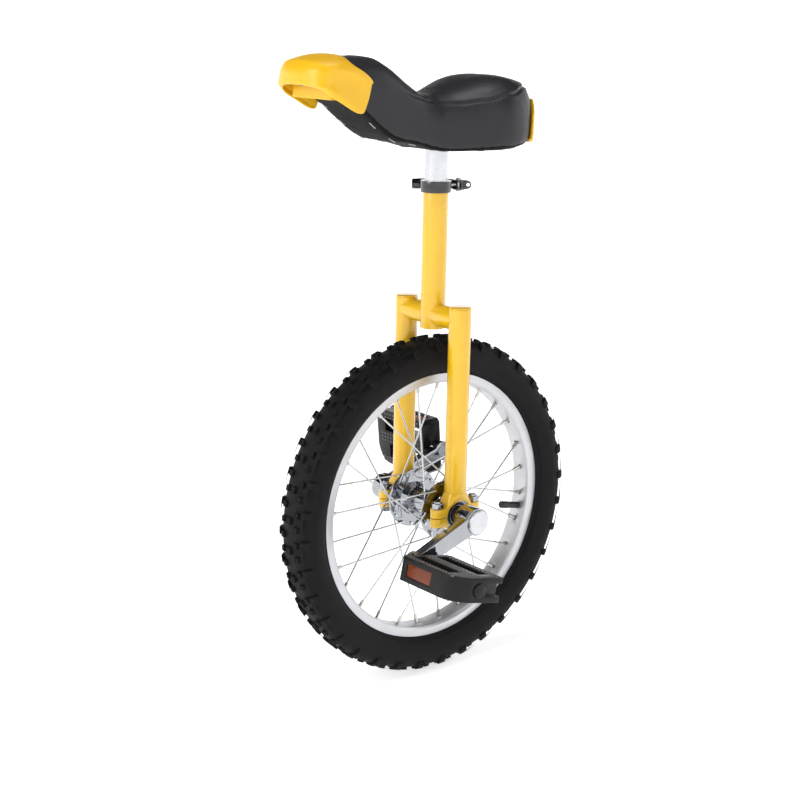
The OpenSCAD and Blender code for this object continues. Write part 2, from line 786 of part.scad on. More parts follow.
module hub_shell() color(chrome) {
    lip = flange_t / 2;
    mid = flange_span / 2;
    difference() {
        at_axle() rotate_extrude() polygon([
            [axle_core_r, -hub_end_y], [barrel_r + 3, -hub_end_y], [barrel_r + 4, -mid - lip],
            [flange_r, -mid - lip], [flange_r, -mid + lip], [barrel_r + 5, -mid + lip],
            [barrel_r, -mid + lip + 7], [barrel_r, mid - lip - 7],
            [barrel_r + 5, mid - lip], [flange_r, mid - lip], [flange_r, mid + lip],
            [barrel_r + 4, mid + lip], [barrel_r + 3, hub_end_y], [axle_core_r, hub_end_y]
        ]);
        for (k = [0:spoke_count - 1]) around_wheel(nipple_angle(k) + spoke_turn(k))
            translate([spoke_hole_r, spoke_side(k) * mid, 0]) rotate([90, 0, 0])
                cylinder(d = 1.1 * spoke_d + 0.3, h = flange_t + 2, center = true);
    }
}

module axle() color(steel) {
    difference() {
        union() {
            at_axle() cylinder(r = axle_core_r, h = 2 * hub_end_y, center = true);
            at_axle() cylinder(d = bearing_id - run_fit, h = 2 * crank_in, center = true);
            intersection() {
                translate([0, 0, axle_z]) rotate([0, crank_angle, 0])
                    cube([square_w, 2 * square_end_y, square_w], center = true);
                at_axle() cylinder(d = bearing_id - run_fit, h = 2 * crank_out, center = true);
            }
        }
        at_axle() cylinder(d = crank_bolt_d + 2 * run_fit, h = 2 * (square_end_y + 1), center = true);
    }
}

module bearing_spacers() color(chrome) {
    for (side = [-1, 1]) {
        at_axle(side * (hub_end_y + leg_y - bearing_w / 2) / 2)
            ring(race_inner_r - 0.4, bearing_id / 2, leg_y - bearing_w / 2 - hub_end_y, center = true);
        at_axle(side * (crank_in + leg_y + bearing_w / 2) / 2)
            ring(race_inner_r - 0.4, bearing_id / 2, crank_in - leg_y - bearing_w / 2, center = true);
    }
}

// ---------- cranks ----------

// Left crank, lying along +X from the axle.
module crank_arm() {
    difference() {
        union() {
            translate([0, crank_in, 0]) rotate([-90, 0, 0])
                cylinder(r = crank_boss_r, h = crank_out - crank_in);
            translate([crank_len, crank_out - crank_t, 0]) rotate([-90, 0, 0])
                cylinder(r = crank_eye_r, h = crank_t);
            translate([0, crank_out, 0]) rotate([90, 0, 0]) linear_extrude(height = crank_t)
                polygon([[0, -crank_boss_r + 5], [crank_len, -crank_eye_r + 4],
                         [crank_len, crank_eye_r - 4], [0, crank_boss_r - 5]]);
        }
        cube([square_w + 2 * run_fit, 2 * crank_out - 14, square_w + 2 * run_fit], center = true);
        translate([0, crank_out - 7, 0]) rotate([-90, 0, 0]) cylinder(r = crank_cup_r, h = 20);
        translate([crank_len, 0, 0]) rotate([-90, 0, 0]) cylinder(r = spindle_thread_r, h = 2 * crank_out);
    }
}

module at_left_crank() { translate([0, 0, axle_z]) rotate([0, crank_angle, 0]) children(); }
module at_right_crank() { translate([0, 0, axle_z]) rotate([0, crank_angle + 180, 0]) on_right() children(); }

module left_crank() color(chrome) { at_left_crank() crank_arm(); }
module right_crank() color(chrome) { at_right_crank() crank_arm(); }

module crank_bolt() {
    translate([0, square_end_y - 18, 0]) rotate([-90, 0, 0]) cylinder(d = crank_bolt_d, h = 20);
    translate([0, crank_out - 7, 0]) rotate([-90, 0, 0]) cylinder(r = crank_cup_r - 0.6, h = 1.6);
    translate([0, crank_out - 6, 0]) rotate([-90, 0, 0]) cylinder(r = 8, h = 3.8, $fn = 6);
}

module dust_cap() {
    translate([0, crank_out, 0]) rotate([-90, 0, 0]) {
        cylinder(r = dust_cap_r, h = dust_cap_t - 0.8);
        cylinder(r = dust_cap_r - 0.8, h = dust_cap_t);
        translate([0, 0, -2]) cylinder(r = crank_cup_r - run_fit, h = 3);
    }
}

module crank_bolts() color(steel) { at_left_crank() crank_bolt(); at_right_crank() crank_bolt(); }
module dust_caps() color(silver) { at_left_crank() dust_cap(); at_right_crank() dust_cap(); }

// ---------- pedals ----------

// Left pedal's frame: origin where its spindle crosses the middle plane, +Y outwards.
module at_left_pedal(tilt) {
    translate([spindle_x, 0, axle_z - spindle_z]) rotate([0, tilt, 0]) children();
}
module at_right_pedal(tilt) {
    translate([-spindle_x, 0, axle_z + spindle_z]) rotate([0, tilt, 0]) on_right() children();
}

module pedal_spindle() {
    translate([0, crank_out - crank_t + 1, 0]) rotate([-90, 0, 0])
        cylinder(r = spindle_thread_r - run_fit, h = crank_t - 1);
    translate([0, crank_out, 0]) rotate([-90, 0, 0])
        cylinder(r = spindle_flange_r, h = pedal_in_y - crank_out - 4);
    translate([0, crank_out, 0]) rotate([-90, 0, 0])
        cylinder(d = spindle_d, h = pedal_in_y - crank_out + pedal_hub_len + 7);
}

module pedal_spindle_nut() {
    translate([0, pedal_in_y + pedal_hub_len + soft_gap, 0]) rotate([-90, 0, 0])
        hex_nut(13, 5, spindle_d / 2 + run_fit);
}

// Plan of the pedal: square at the crank, round at its front outer corner, a tip at the rear.
module pedal_plan() {
    half = pedal_w / 2;
    far = pedal_in_y + pedal_len;
    polygon(concat(
        [[-half, pedal_in_y + 4], [-half + 4, pedal_in_y], [half - 4, pedal_in_y], [half, pedal_in_y + 4]],
        [for (a = [0:15:75]) [half - 30 + 30 * cos(a), far - 22 + 22 * sin(a)]],
        [[-half + 12, far], [-half + 3, far - 1], [-half, far - 5]]
    ));
}

module pedal_opening(x0, x1, y0, y1) {
    translate([x0, y0, -pedal_t]) cube([x1 - x0, y1 - y0, 2 * pedal_t]);
}

module pedal_body() {
    half = pedal_w / 2;
    far = pedal_in_y + pedal_len;
    rail = reflector_t + 6;
    difference() {
        translate([0, 0, -pedal_t / 2]) linear_extrude(height = pedal_t) pedal_plan();
        pedal_opening(pedal_barrel_r, half - rail, pedal_in_y + 7, far - 24);
        pedal_opening(-half + rail, -pedal_barrel_r, pedal_in_y + 7, far - 16);
        translate([0, pedal_in_y - 1, 0]) rotate([-90, 0, 0])
            cylinder(r = spindle_d / 2 + run_fit, h = pedal_len + 9);
        translate([0, pedal_in_y + pedal_hub_len, 0]) rotate([-90, 0, 0])
            cylinder(r = 8, h = pedal_len);
        for (side = [-1, 1])
            translate([side * half, pedal_in_y + 12 + reflector_len / 2, 0])
                cube([2 * reflector_t + 2, reflector_len + 2 * run_fit, reflector_h + 2 * run_fit],
                    center = true);
        // waist of the end between the two treads
        translate([-half - 10, far - 11, -pedal_t / 2 + 6]) cube([half, 20, pedal_t - 12]);
    }
}

module pedal_reflectors() {
    for (side = [-1, 1])
        translate([side * (pedal_w / 2 - 1 - reflector_t / 2), pedal_in_y + 12 + reflector_len / 2, 0])
            cube([reflector_t, reflector_len, reflector_h], center = true);
}

module pedal_end_cap() {
    translate([0, pedal_in_y + pedal_hub_len + 9, 0]) rotate([-90, 0, 0])
        cylinder(r = 8 - run_fit, h = pedal_len - pedal_hub_len - 9 + 1);
}

module left_pedal_spindle() color(steel) { at_left_pedal(0) pedal_spindle(); }
module right_pedal_spindle() color(steel) { at_right_pedal(0) pedal_spindle(); }
module pedal_spindle_nuts() color(steel) {
    at_left_pedal(0) pedal_spindle_nut();
    at_right_pedal(0) pedal_spindle_nut();
}
module left_pedal_body() color(black) { at_left_pedal(left_pedal_tilt) pedal_body(); }
module right_pedal_body() color(black) { at_right_pedal(right_pedal_tilt) pedal_body(); }
module left_pedal_reflectors() color(orange) { at_left_pedal(left_pedal_tilt) pedal_reflectors(); }
module right_pedal_reflectors() color(orange) { at_right_pedal(right_pedal_tilt) pedal_reflectors(); }
module left_pedal_end_cap() color(black) { at_left_pedal(left_pedal_tilt) pedal_end_cap(); }
module right_pedal_end_cap() color(black) { at_right_pedal(right_pedal_tilt) pedal_end_cap(); }

seat_tube();
crown_tube();
fork_leg();  // left_fork_leg
on_right() fork_leg();  // right_fork_leg
leg_cap();  // left_leg_cap
on_right() leg_cap();  // right_leg_cap
bearing_seat();  // left_bearing_seat
on_right() bearing_seat();  // right_bearing_seat
bearing_cap();  // left_bearing_cap
on_right() bearing_cap();  // right_bearing_cap
bearing_cap_bolts();
bearing_cap_nuts();
outer_race();  // left_outer_race
on_right() outer_race();  // right_outer_race
bearing_seals();
clamp_collar();
clamp_skewer();
clamp_adjusting_nut();
clamp_pivot_pin();
clamp_lever();
seatpost();
seatpost_plate();
saddle_base();
saddle_foam();
saddle_cover();
front_bumper();
rear_bumper();
bumper_screws();
saddle_bolts();
saddle_nuts();
tyre();
inner_tube();
rim_tape();
rim();
valve_stem();
valve_cap();
spokes();
nipples();
hub_shell();
axle();
inner_race();  // left_inner_race
on_right() inner_race();  // right_inner_race
bearing_spacers();
left_crank();
right_crank();
crank_bolts();
dust_caps();
left_pedal_spindle();
right_pedal_spindle();
pedal_spindle_nuts();
bearing_balls();  // left_bearing_balls
ball_cage();  // left_ball_cage
on_right() bearing_balls();  // right_bearing_balls
on_right() ball_cage();  // right_ball_cage
left_pedal_body();
left_pedal_reflectors();
left_pedal_end_cap();
right_pedal_body();
right_pedal_reflectors();
right_pedal_end_cap();
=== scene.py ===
"""The unicycle's looks: tread, cushion, bumpers, pedals, softened metalwork, finishes and the studio."""

import json
import math

import bmesh
import bpy
from bpy.props import FloatProperty, FloatVectorProperty, IntProperty, PointerProperty, StringProperty
from mathutils import Matrix, Vector
from mathutils.bvhtree import BVHTree


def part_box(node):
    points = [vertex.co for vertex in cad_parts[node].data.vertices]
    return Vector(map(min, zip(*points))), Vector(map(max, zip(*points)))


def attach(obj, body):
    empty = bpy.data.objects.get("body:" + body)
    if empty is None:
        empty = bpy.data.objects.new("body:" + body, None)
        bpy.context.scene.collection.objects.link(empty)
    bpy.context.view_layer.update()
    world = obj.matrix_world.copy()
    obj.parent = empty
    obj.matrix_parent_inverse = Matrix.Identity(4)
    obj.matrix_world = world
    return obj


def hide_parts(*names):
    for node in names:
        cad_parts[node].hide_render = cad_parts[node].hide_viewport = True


bl_info = {
    "name": "Unicycle looks",
    "version": (1, 0, 0),
    "blender": (4, 5, 0),
    "location": "3D View > Sidebar > Unicycle",
    "description": "Builds a unicycle's tread, cushion, bumpers, pedals and finishes on its frame",
    "category": "Object",
}

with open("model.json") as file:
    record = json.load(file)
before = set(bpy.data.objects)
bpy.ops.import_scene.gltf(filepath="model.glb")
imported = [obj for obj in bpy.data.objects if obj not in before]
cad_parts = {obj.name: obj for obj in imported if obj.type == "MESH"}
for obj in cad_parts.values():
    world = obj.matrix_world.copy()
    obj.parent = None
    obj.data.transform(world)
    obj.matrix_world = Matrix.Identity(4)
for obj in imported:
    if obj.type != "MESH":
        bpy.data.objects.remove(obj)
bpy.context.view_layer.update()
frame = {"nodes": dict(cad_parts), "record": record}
MM = 0.001
MERGE_DISTANCE = 0.00002
AXLE = Vector((0, 0, (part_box("axle")[0].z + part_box("axle")[1].z) / 2))


# ---------- sizes and colours ----------

class TreadSizes(bpy.types.PropertyGroup):
    """Sizes of the tyre's tread."""
    blocks: IntProperty(
        name="Blocks around", description="Tread blocks in each row", default=72, min=40, max=90)
    block_length: FloatProperty(
        name="Block length", description="Length of a centre block along the tread",
        default=0.0078, min=0.005, max=0.012, unit="LENGTH", subtype="DISTANCE")
    recess: FloatProperty(
        name="Recess", description="Depth of the hollow in a block's top",
        default=0.001, min=0, max=0.002, unit="LENGTH", subtype="DISTANCE")


class CushionSizes(bpy.types.PropertyGroup):
    """Sizes of the saddle's cushion and its sewing."""
    voxel: FloatProperty(
        name="Cloth step", description="Size of the cloth's mesh before it is blown up",
        default=0.0042, min=0.003, max=0.006, unit="LENGTH", subtype="DISTANCE")
    swell: FloatProperty(
        name="Swell", description="How far the filling may push a panel out",
        default=0.0035, min=0, max=0.012, unit="LENGTH", subtype="DISTANCE")
    stitch_pitch: FloatProperty(
        name="Stitch pitch", description="Distance from one stitch to the next",
        default=0.0045, min=0.003, max=0.008, unit="LENGTH", subtype="DISTANCE")
    seam_depth: FloatProperty(
        name="Seam depth", description="How deep the seam pulls into the panel",
        default=0.0012, min=0, max=0.003, unit="LENGTH", subtype="DISTANCE")


class FinishColours(bpy.types.PropertyGroup):
    """Colours of the finishes, as sRGB hex values."""
    frame_yellow: StringProperty(
        name="Frame enamel", description="Enamel on the steel tubes", default="#EDBE17")
    bumper_yellow: StringProperty(name="Bumper plastic", description="Moulded bumpers", default="#F0BD1A")
    tyre_black: StringProperty(name="Tyre rubber", description="Rubber of the tyre", default="#121113")
    vinyl_black: StringProperty(
        name="Saddle vinyl", description="Vinyl of the saddle cover", default="#1B1A1E")
    pedal_black: StringProperty(name="Pedal plastic", description="Moulded pedal bodies", default="#0C0B0C")
    reflector_amber: StringProperty(
        name="Reflector", description="Reflectors in the pedals", default="#7C3A1B")


class StudioSizes(bpy.types.PropertyGroup):
    """The camera's place and the strength of the light."""
    azimuth: FloatProperty(
        name="Azimuth", description="Side the camera stands on, in degrees", default=141.02)
    elevation: FloatProperty(
        name="Elevation", description="Angle down to the object, in degrees", default=13.90)
    roll: FloatProperty(name="Roll", description="Lean of the camera, in degrees", default=1.10)
    lens: FloatProperty(name="Lens", description="Focal length in millimetres", default=70.875)
    place: FloatVectorProperty(
        name="Place", description="Where the camera stands", default=(1.1422, 1.3549, 0.7649),
        unit="LENGTH", subtype="TRANSLATION")
    light: FloatProperty(name="Light", description="Strength of all the lights", default=1.0, min=0, max=4)


# ---------- helpers for pieces ----------

def moved(bm, matrix):
    bmesh.ops.transform(bm, matrix=matrix, verts=bm.verts)


def piece(name, bm, body, materials, replaces=(), sharp=38, recalc=True):
    """Turn a bmesh in metres, in its final place, into a shown piece that rides on a body."""
    if recalc:
        bmesh.ops.recalc_face_normals(bm, faces=bm.faces)
    mesh = bpy.data.meshes.new(name)
    bm.to_mesh(mesh)
    bm.free()
    mesh.shade_smooth()
    mesh.set_sharp_from_angle(angle=math.radians(sharp))
    obj = bpy.data.objects.new(name, mesh)
    bpy.context.scene.collection.objects.link(obj)
    for material in materials:
        mesh.materials.append(material)
    if replaces:
        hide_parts(*replaces)
    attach(obj, body)
    return obj


def copy_of(node):
    """A merged bmesh copy of a CAD node."""
    bm = bmesh.new()
    bm.from_mesh(frame["nodes"][node].data)
    bmesh.ops.remove_doubles(bm, verts=bm.verts, dist=MERGE_DISTANCE)
    return bm


def body_of(node):
    return next(b for b, nodes in frame["record"]["behaviour"]["bodies"].items() if node in nodes)


def slot_of(node):
    return next(s["material_slot"] for s in frame["record"]["subparts"] if s["node"] == node)


def softened(node, name, material, radius, segments=2, angle=32):
    """A copy of a CAD node with its sharp edges rounded over, which is shown in its place."""
    bm = copy_of(node)
    bmesh.ops.dissolve_limit(bm, angle_limit=math.radians(0.6), verts=bm.verts, edges=bm.edges,
                             use_dissolve_boundaries=False, delimit=set())
    edges = [e for e in bm.edges if len(e.link_faces) == 2 and e.calc_face_angle(0) > math.radians(angle)]
    bmesh.ops.bevel(bm, geom=edges, offset=radius, offset_type="OFFSET", segments=segments, profile=0.5,
                    affect="EDGES", clamp_overlap=True, material=-1)
    return piece(name, bm, body_of(node), [material], replaces=(node,), sharp=50, recalc=False)


def spun(bm, outline, steps, closed=True):
    """Spin an outline of (along the axle, out from it) points about the axle line."""
    verts = [bm.verts.new((0, along, out)) for along, out in outline]
    edges = [bm.edges.new(pair) for pair in zip(verts, verts[1:])]
    if closed:
        edges.append(bm.edges.new((verts[-1], verts[0])))
    bmesh.ops.spin(bm, geom=verts + edges, cent=(0, 0, 0), axis=(0, 1, 0), angle=2 * math.pi,
                   steps=steps, use_merge=True)


def along(points, x):
    """Smooth value at x along a list of (x, value) points."""
    points = sorted(points)
    if x <= points[0][0]:
        return points[0][1]
    for (x0, v0), (x1, v1) in zip(points, points[1:]):
        if x <= x1:
            t = (x - x0) / (x1 - x0)
            return v0 + (v1 - v0) * t * t * (3 - 2 * t)
    return points[-1][1]


# ---------- materials ----------

def linear(hex_value):
    """An sRGB hex value as the linear colour that a shader reads."""
    parts = [int(hex_value[i:i + 2], 16) / 255 for i in (1, 3, 5)]
    return [c / 12.92 if c <= 0.04045 else ((c + 0.055) / 1.055) ** 2.4 for c in parts] + [1.0]


def add(tree, kind, inputs=None, **settings):
    """Add a node with its settings. An input takes a value, or a socket to link from."""
    node = tree.nodes.new(kind)
    for key, value in settings.items():
        setattr(node, key, value)
    for key, value in (inputs or {}).items():
        if isinstance(value, bpy.types.NodeSocket):
            tree.links.new(value, node.inputs[key])
        else:
            node.inputs[key].default_value = value
    return node


def blank(name):
    material = bpy.data.materials.new(name)
    material.use_nodes = True
    tree = material.node_tree
    shader = tree.nodes["Principled BSDF"]
    place = add(tree, "ShaderNodeTexCoord").outputs["Object"]
    return material, tree, shader, place


def noise(tree, place, size_mm, detail):
    """A noise texture with patches about size_mm across."""
    return add(tree, "ShaderNodeTexNoise", {"Vector": place, "Scale": 1000 / size_mm, "Detail": detail})


def spread(tree, texture, low, high):
    """The middle of a noise texture's range, stretched to run from low to high."""
    ends = {"From Min": 0.3, "From Max": 0.7, "To Min": low, "To Max": high}
    return add(tree, "ShaderNodeMapRange", {"Value": texture.outputs["Fac"], **ends}).outputs["Result"]


def finish(name, colour, shade, patch_mm, roughness, swing, grain_mm, grain_depth_mm,
           stretch=(1, 1, 1), **sockets):
    """One finish: two close colours in soft patches, roughness that drifts with them, and a fine grain."""
    material, tree, shader, place = blank(name)
    patches = noise(tree, place, patch_mm, 3.0)
    mix = add(tree, "ShaderNodeMix", {0: patches.outputs["Fac"], 6: linear(colour), 7: linear(shade)},
              data_type="RGBA")
    tree.links.new(mix.outputs[2], shader.inputs["Base Color"])
    tree.links.new(spread(tree, patches, roughness - swing, roughness + swing), shader.inputs["Roughness"])
    laid = add(tree, "ShaderNodeMapping", {"Vector": place, "Scale": stretch})
    grain = noise(tree, laid.outputs["Vector"], grain_mm, 2.0)
    bump = add(tree, "ShaderNodeBump", {"Height": grain.outputs["Fac"], "Distance": grain_depth_mm * MM,
                                        "Strength": 0.6})
    tree.links.new(bump.outputs["Normal"], shader.inputs["Normal"])
    for key, value in sockets.items():
        shader.inputs[key.replace("_", " ")].default_value = value
    return material


def make_finishes(colours):
    """Every finish on the unicycle, by the record's slot."""
    made = {}
    # Wet-sprayed gloss enamel on steel: deep even yellow, a clear wet-looking top and slight orange peel.
    made["yellow_enamel"] = finish(
        "sprayed_gloss_enamel", colours.frame_yellow, "#E6B311", 45, 0.30, 0.04, 2.2, 0.03,
        Coat_Weight=0.7, Coat_Roughness=0.06)
    # Injection-moulded polypropylene: warm yellow, satin, with a faint moulded grain.
    made["yellow_plastic"] = finish(
        "moulded_polypropylene", colours.bumper_yellow, "#E8B112", 30, 0.38, 0.05, 0.9, 0.03,
        IOR=1.49, Subsurface_Weight=0.05, Subsurface_Scale=0.002)
    # Bright chrome over polished steel: a cold mirror with faint haze, toned down to stand out on white.
    made["chrome_plate"] = finish(
        "bright_chrome_plating", "#A9ABAF", "#9DA0A5", 18, 0.07, 0.03, 3.0, 0.006, Metallic=1.0)
    # Ground bearing steel: grey, fine circular grinding that blurs reflections.
    made["ground_steel"] = finish(
        "ground_bearing_steel", "#A7A9AC", "#96989C", 6, 0.3, 0.06, 0.5, 0.01, Metallic=1.0)
    # Moulded nitrile rubber: soft dull black.
    made["seal_rubber"] = finish(
        "moulded_nitrile", "#161616", "#1E1E1E", 5, 0.6, 0.06, 0.4, 0.03, IOR=1.5)
    # Stoved gloss enamel on a forged clamp: near mirror black.
    made["black_enamel"] = finish(
        "stoved_black_enamel", "#0E0E0F", "#151516", 9, 0.16, 0.04, 1.2, 0.02,
        Coat_Weight=0.6, Coat_Roughness=0.05)
    # Zinc-plated steel fasteners: bluish grey, satin, a little cloudy.
    made["zinc_steel"] = finish(
        "zinc_plated_steel", "#B9BDC3", "#A4A8AF", 4, 0.3, 0.07, 0.6, 0.01, Metallic=1.0)
    # Turned and satin-anodised aluminium: bright with fine lines round the tube.
    made["satin_alloy"] = finish(
        "satin_anodised_aluminium", "#D6D7DA", "#C6C8CC", 12, 0.3, 0.05, 1.2, 0.02,
        stretch=(1, 1, 14), Metallic=1.0)
    # Rolled and clear-anodised aluminium rim: pale silver with a soft sheen.
    made["rim_alloy"] = finish(
        "clear_anodised_rim", "#CFD0D3", "#C6C7CB", 20, 0.42, 0.05, 0.8, 0.012, Metallic=0.85)
    # Drawn stainless wire: bright thin lines.
    made["spoke_steel"] = finish(
        "drawn_stainless_wire", "#D3D5D8", "#BFC1C5", 14, 0.2, 0.05, 0.7, 0.01, Metallic=1.0)
    # Nickel-plated brass: warm bright silver.
    made["nipple_nickel"] = finish(
        "nickel_plated_brass", "#CFCDC8", "#BDBBB6", 5, 0.22, 0.05, 0.6, 0.01, Metallic=1.0)
    # Moulded structural plastic under the cushion: flat black with a coarse spark grain.
    made["base_plastic"] = finish(
        "spark_grained_polypropylene", "#0B0B0C", "#111112", 8, 0.62, 0.05, 0.7, 0.08,
        IOR=1.49, Specular_IOR_Level=0.08)
    # Cut polyurethane foam, hidden under the cover: grey open cells.
    made["cushion_foam"] = finish(
        "cut_polyurethane_foam", "#4A4A4C", "#58585A", 3, 0.9, 0.03, 0.8, 0.2)
    # Moulded butyl: slightly shiny black.
    made["valve_rubber"] = finish(
        "moulded_butyl", "#131314", "#1C1C1D", 5, 0.45, 0.06, 0.6, 0.03, IOR=1.5)
    # Glass-filled nylon: satin black with a fine moulded texture.
    made["pedal_plastic"] = finish(
        "glass_filled_nylon", colours.pedal_black, "#131213", 7, 0.3, 0.03, 0.6, 0.02,
        IOR=1.5, Specular_IOR_Level=0.25)
    # Rough-moulded tyre compound: dull black with slightly greyer patches.
    made["tyre_rubber"] = finish(
        "moulded_tyre_rubber", colours.tyre_black, "#1B1A1C", 16, 0.62, 0.06, 0.9, 0.06,
        IOR=1.5, Specular_IOR_Level=0.12)
    # The same nylon on the tread teeth, paler and rougher along the treads: the pale grey is a painted
    # highlight, the white light shining off their tops.
    made["scuffed_plastic"] = finish(
        "nylon_with_painted_highlight", "#77767A", "#55545A", 3, 0.42, 0.08, 0.5, 0.08, IOR=1.53)
    made["black_vinyl"] = embossed_vinyl(colours.vinyl_black)
    made["amber_reflector"] = prism_reflector(colours.reflector_amber)
    return made


def embossed_vinyl(colour):
    """Calendered and embossed vinyl: satin black with a fine leather-like grain and soft grey highlights."""
    material, tree, shader, place = blank("embossed_upholstery_vinyl")
    cells = add(tree, "ShaderNodeTexVoronoi", {"Vector": place, "Scale": 1000 / 1.6},
                feature="DISTANCE_TO_EDGE")
    pores = noise(tree, place, 0.8, 3.0)
    drift = noise(tree, place, 40, 2.0)
    mix = add(tree, "ShaderNodeMix", {0: drift.outputs["Fac"], 6: linear(colour), 7: linear("#242328")},
              data_type="RGBA")
    tree.links.new(mix.outputs[2], shader.inputs["Base Color"])
    tree.links.new(spread(tree, pores, 0.38, 0.48), shader.inputs["Roughness"])
    # the creases are 1.6 mm apart, which is coarse for such vinyl, so that they show
    creases = add(tree, "ShaderNodeMath", {0: cells.outputs["Distance"], 1: 0.12}, operation="MINIMUM")
    fine = add(tree, "ShaderNodeBump", {"Height": creases.outputs["Value"], "Distance": 0.3 * MM,
                                        "Strength": 0.35})
    soft = add(tree, "ShaderNodeBump", {"Height": pores.outputs["Fac"], "Distance": 0.04 * MM,
                                        "Strength": 0.5, "Normal": fine.outputs["Normal"]})
    tree.links.new(soft.outputs["Normal"], shader.inputs["Normal"])
    shader.inputs["IOR"].default_value = 1.5
    shader.inputs["Specular IOR Level"].default_value = 0.36
    return material


def prism_reflector(colour):
    """Moulded acrylic reflector: glossy amber over rows of small prisms that catch the light in squares, with
    painted shade that darkens each prism towards its edges.
    """
    material, tree, shader, place = blank("prismatic_amber_acrylic")
    prisms = add(tree, "ShaderNodeTexVoronoi", {"Vector": place, "Scale": 1000 / 2.6, "Randomness": 0.0},
                 distance="CHEBYCHEV")
    # painted shade: the amber turns darker from each prism's middle towards its edges
    mix = add(tree, "ShaderNodeMix", {0: prisms.outputs["Distance"], 6: linear(colour), 7: linear("#54240E")},
              data_type="RGBA")
    tree.links.new(mix.outputs[2], shader.inputs["Base Color"])
    bump = add(tree, "ShaderNodeBump", {"Height": prisms.outputs["Distance"], "Distance": 0.5 * MM,
                                        "Strength": 0.8})
    tree.links.new(bump.outputs["Normal"], shader.inputs["Normal"])
    shader.inputs["Roughness"].default_value = 0.22
    shader.inputs["Specular IOR Level"].default_value = 0.3
    shader.inputs["Coat Weight"].default_value = 0.15
    shader.inputs["Coat Roughness"].default_value = 0.05
    return material


FINISHES = {}


# ---------- tyre ----------

# the casing's outline in millimetres, (along the axle, out from it), bead to bead
CASING_OUTSIDE = [(12.1, 153.5), (12.1, 158.8), (14.4, 160.0), (15.6, 161.6), (18.4, 164.2), (19.6, 164.4),
                  (21.2, 167.0), (23.6, 172.0), (24.9, 178.0), (25.2, 181.0), (24.7, 183.0), (24.2, 187.0),
                  (22.0, 191.6), (17.0, 195.3), (9.0, 197.4), (3.0, 197.9)]
CASING_INSIDE = [(3.0, 194.6), (9.0, 194.2), (17.0, 191.0), (21.0, 184.0), (21.4, 177.0), (18.0, 168.0),
                 (11.0, 161.0), (9.6, 154.0)]
# the tread blocks' cross-sections in millimetres, (across, out)
CROWN_BLOCK = [(-3.9, 197.0), (3.9, 197.0), (3.4, 201.9), (-3.4, 201.9)]
MIDDLE_BLOCK = [(8.2, 196.8), (14.8, 195.4), (14.2, 200.2), (8.8, 201.3)]
SHOULDER_BLOCK = [(17.6, 194.4), (22.8, 189.0), (24.4, 187.0), (25.9, 189.2), (25.3, 192.2), (22.4, 196.9),
                  (18.4, 199.0)]
BLOCK_TOP_FROM = 194.5  # a face that looks outwards beyond this is the block's top
BLOCK_DRAFT_FROM = 196.2
BLOCK_DRAFT = 0.9
BLOCK_BORDER = 1.9
BLOCK_EDGE = 0.55
BLOCK_FOOT = 186.0  # edges nearer to the axle than this are buried in the casing
SHOULDER_RECESS = 0.7
# how far a row stands after the crown's, as a share of the pitch: the two middle rows, then the shoulders
MIDDLE_LAG = {False: 0.5, True: 0.42}
SHOULDER_LAG = 0.06
# shoulder blocks are short and long by turns, against the crown's length
SHOULDER_CHANGE = (-0.4, 0.9)


def tread_block(bm, outline, length, turn, recess, mirror=False):
    """A tread block on its outline, with its edges rounded and its top hollowed, turned round the axle."""
    across = -1 if mirror else 1
    side = [bm.verts.new((-length / 2, across * y, out)) for y, out in outline]
    made = bmesh.ops.extrude_face_region(bm, geom=[bm.faces.new(side)])["geom"]
    far = [v for v in made if isinstance(v, bmesh.types.BMVert)]
    bmesh.ops.translate(bm, verts=far, vec=(length, 0, 0))
    both = side + far
    faces = {f for v in both for f in v.link_faces}
    bmesh.ops.recalc_face_normals(bm, faces=list(faces))
    tops = [f for f in faces if f.normal.z > 0.55 and f.calc_center_median().z > BLOCK_TOP_FROM]
    for v in both:  # draft: the block narrows towards its top
        if v.co.z > BLOCK_DRAFT_FROM:
            v.co.x *= BLOCK_DRAFT
    if recess:
        bmesh.ops.inset_region(bm, faces=tops, thickness=BLOCK_BORDER, depth=-recess)
    rims = [e for f in faces if f.is_valid for e in f.edges
            if len(e.link_faces) == 2 and e.calc_face_angle(0) > 0.6
            and min(v.co.z for v in e.verts) > BLOCK_FOOT]
    bmesh.ops.bevel(bm, geom=list(set(rims)), offset=BLOCK_EDGE, segments=1, profile=0.5, affect="EDGES",
                    clamp_overlap=True, material=-1)
    verts = {v for v in bm.verts if not v.tag}
    bmesh.ops.rotate(bm, verts=list(verts), cent=(0, 0, 0), matrix=Matrix.Rotation(turn, 3, "Y"))
    for v in verts:
        v.tag = True


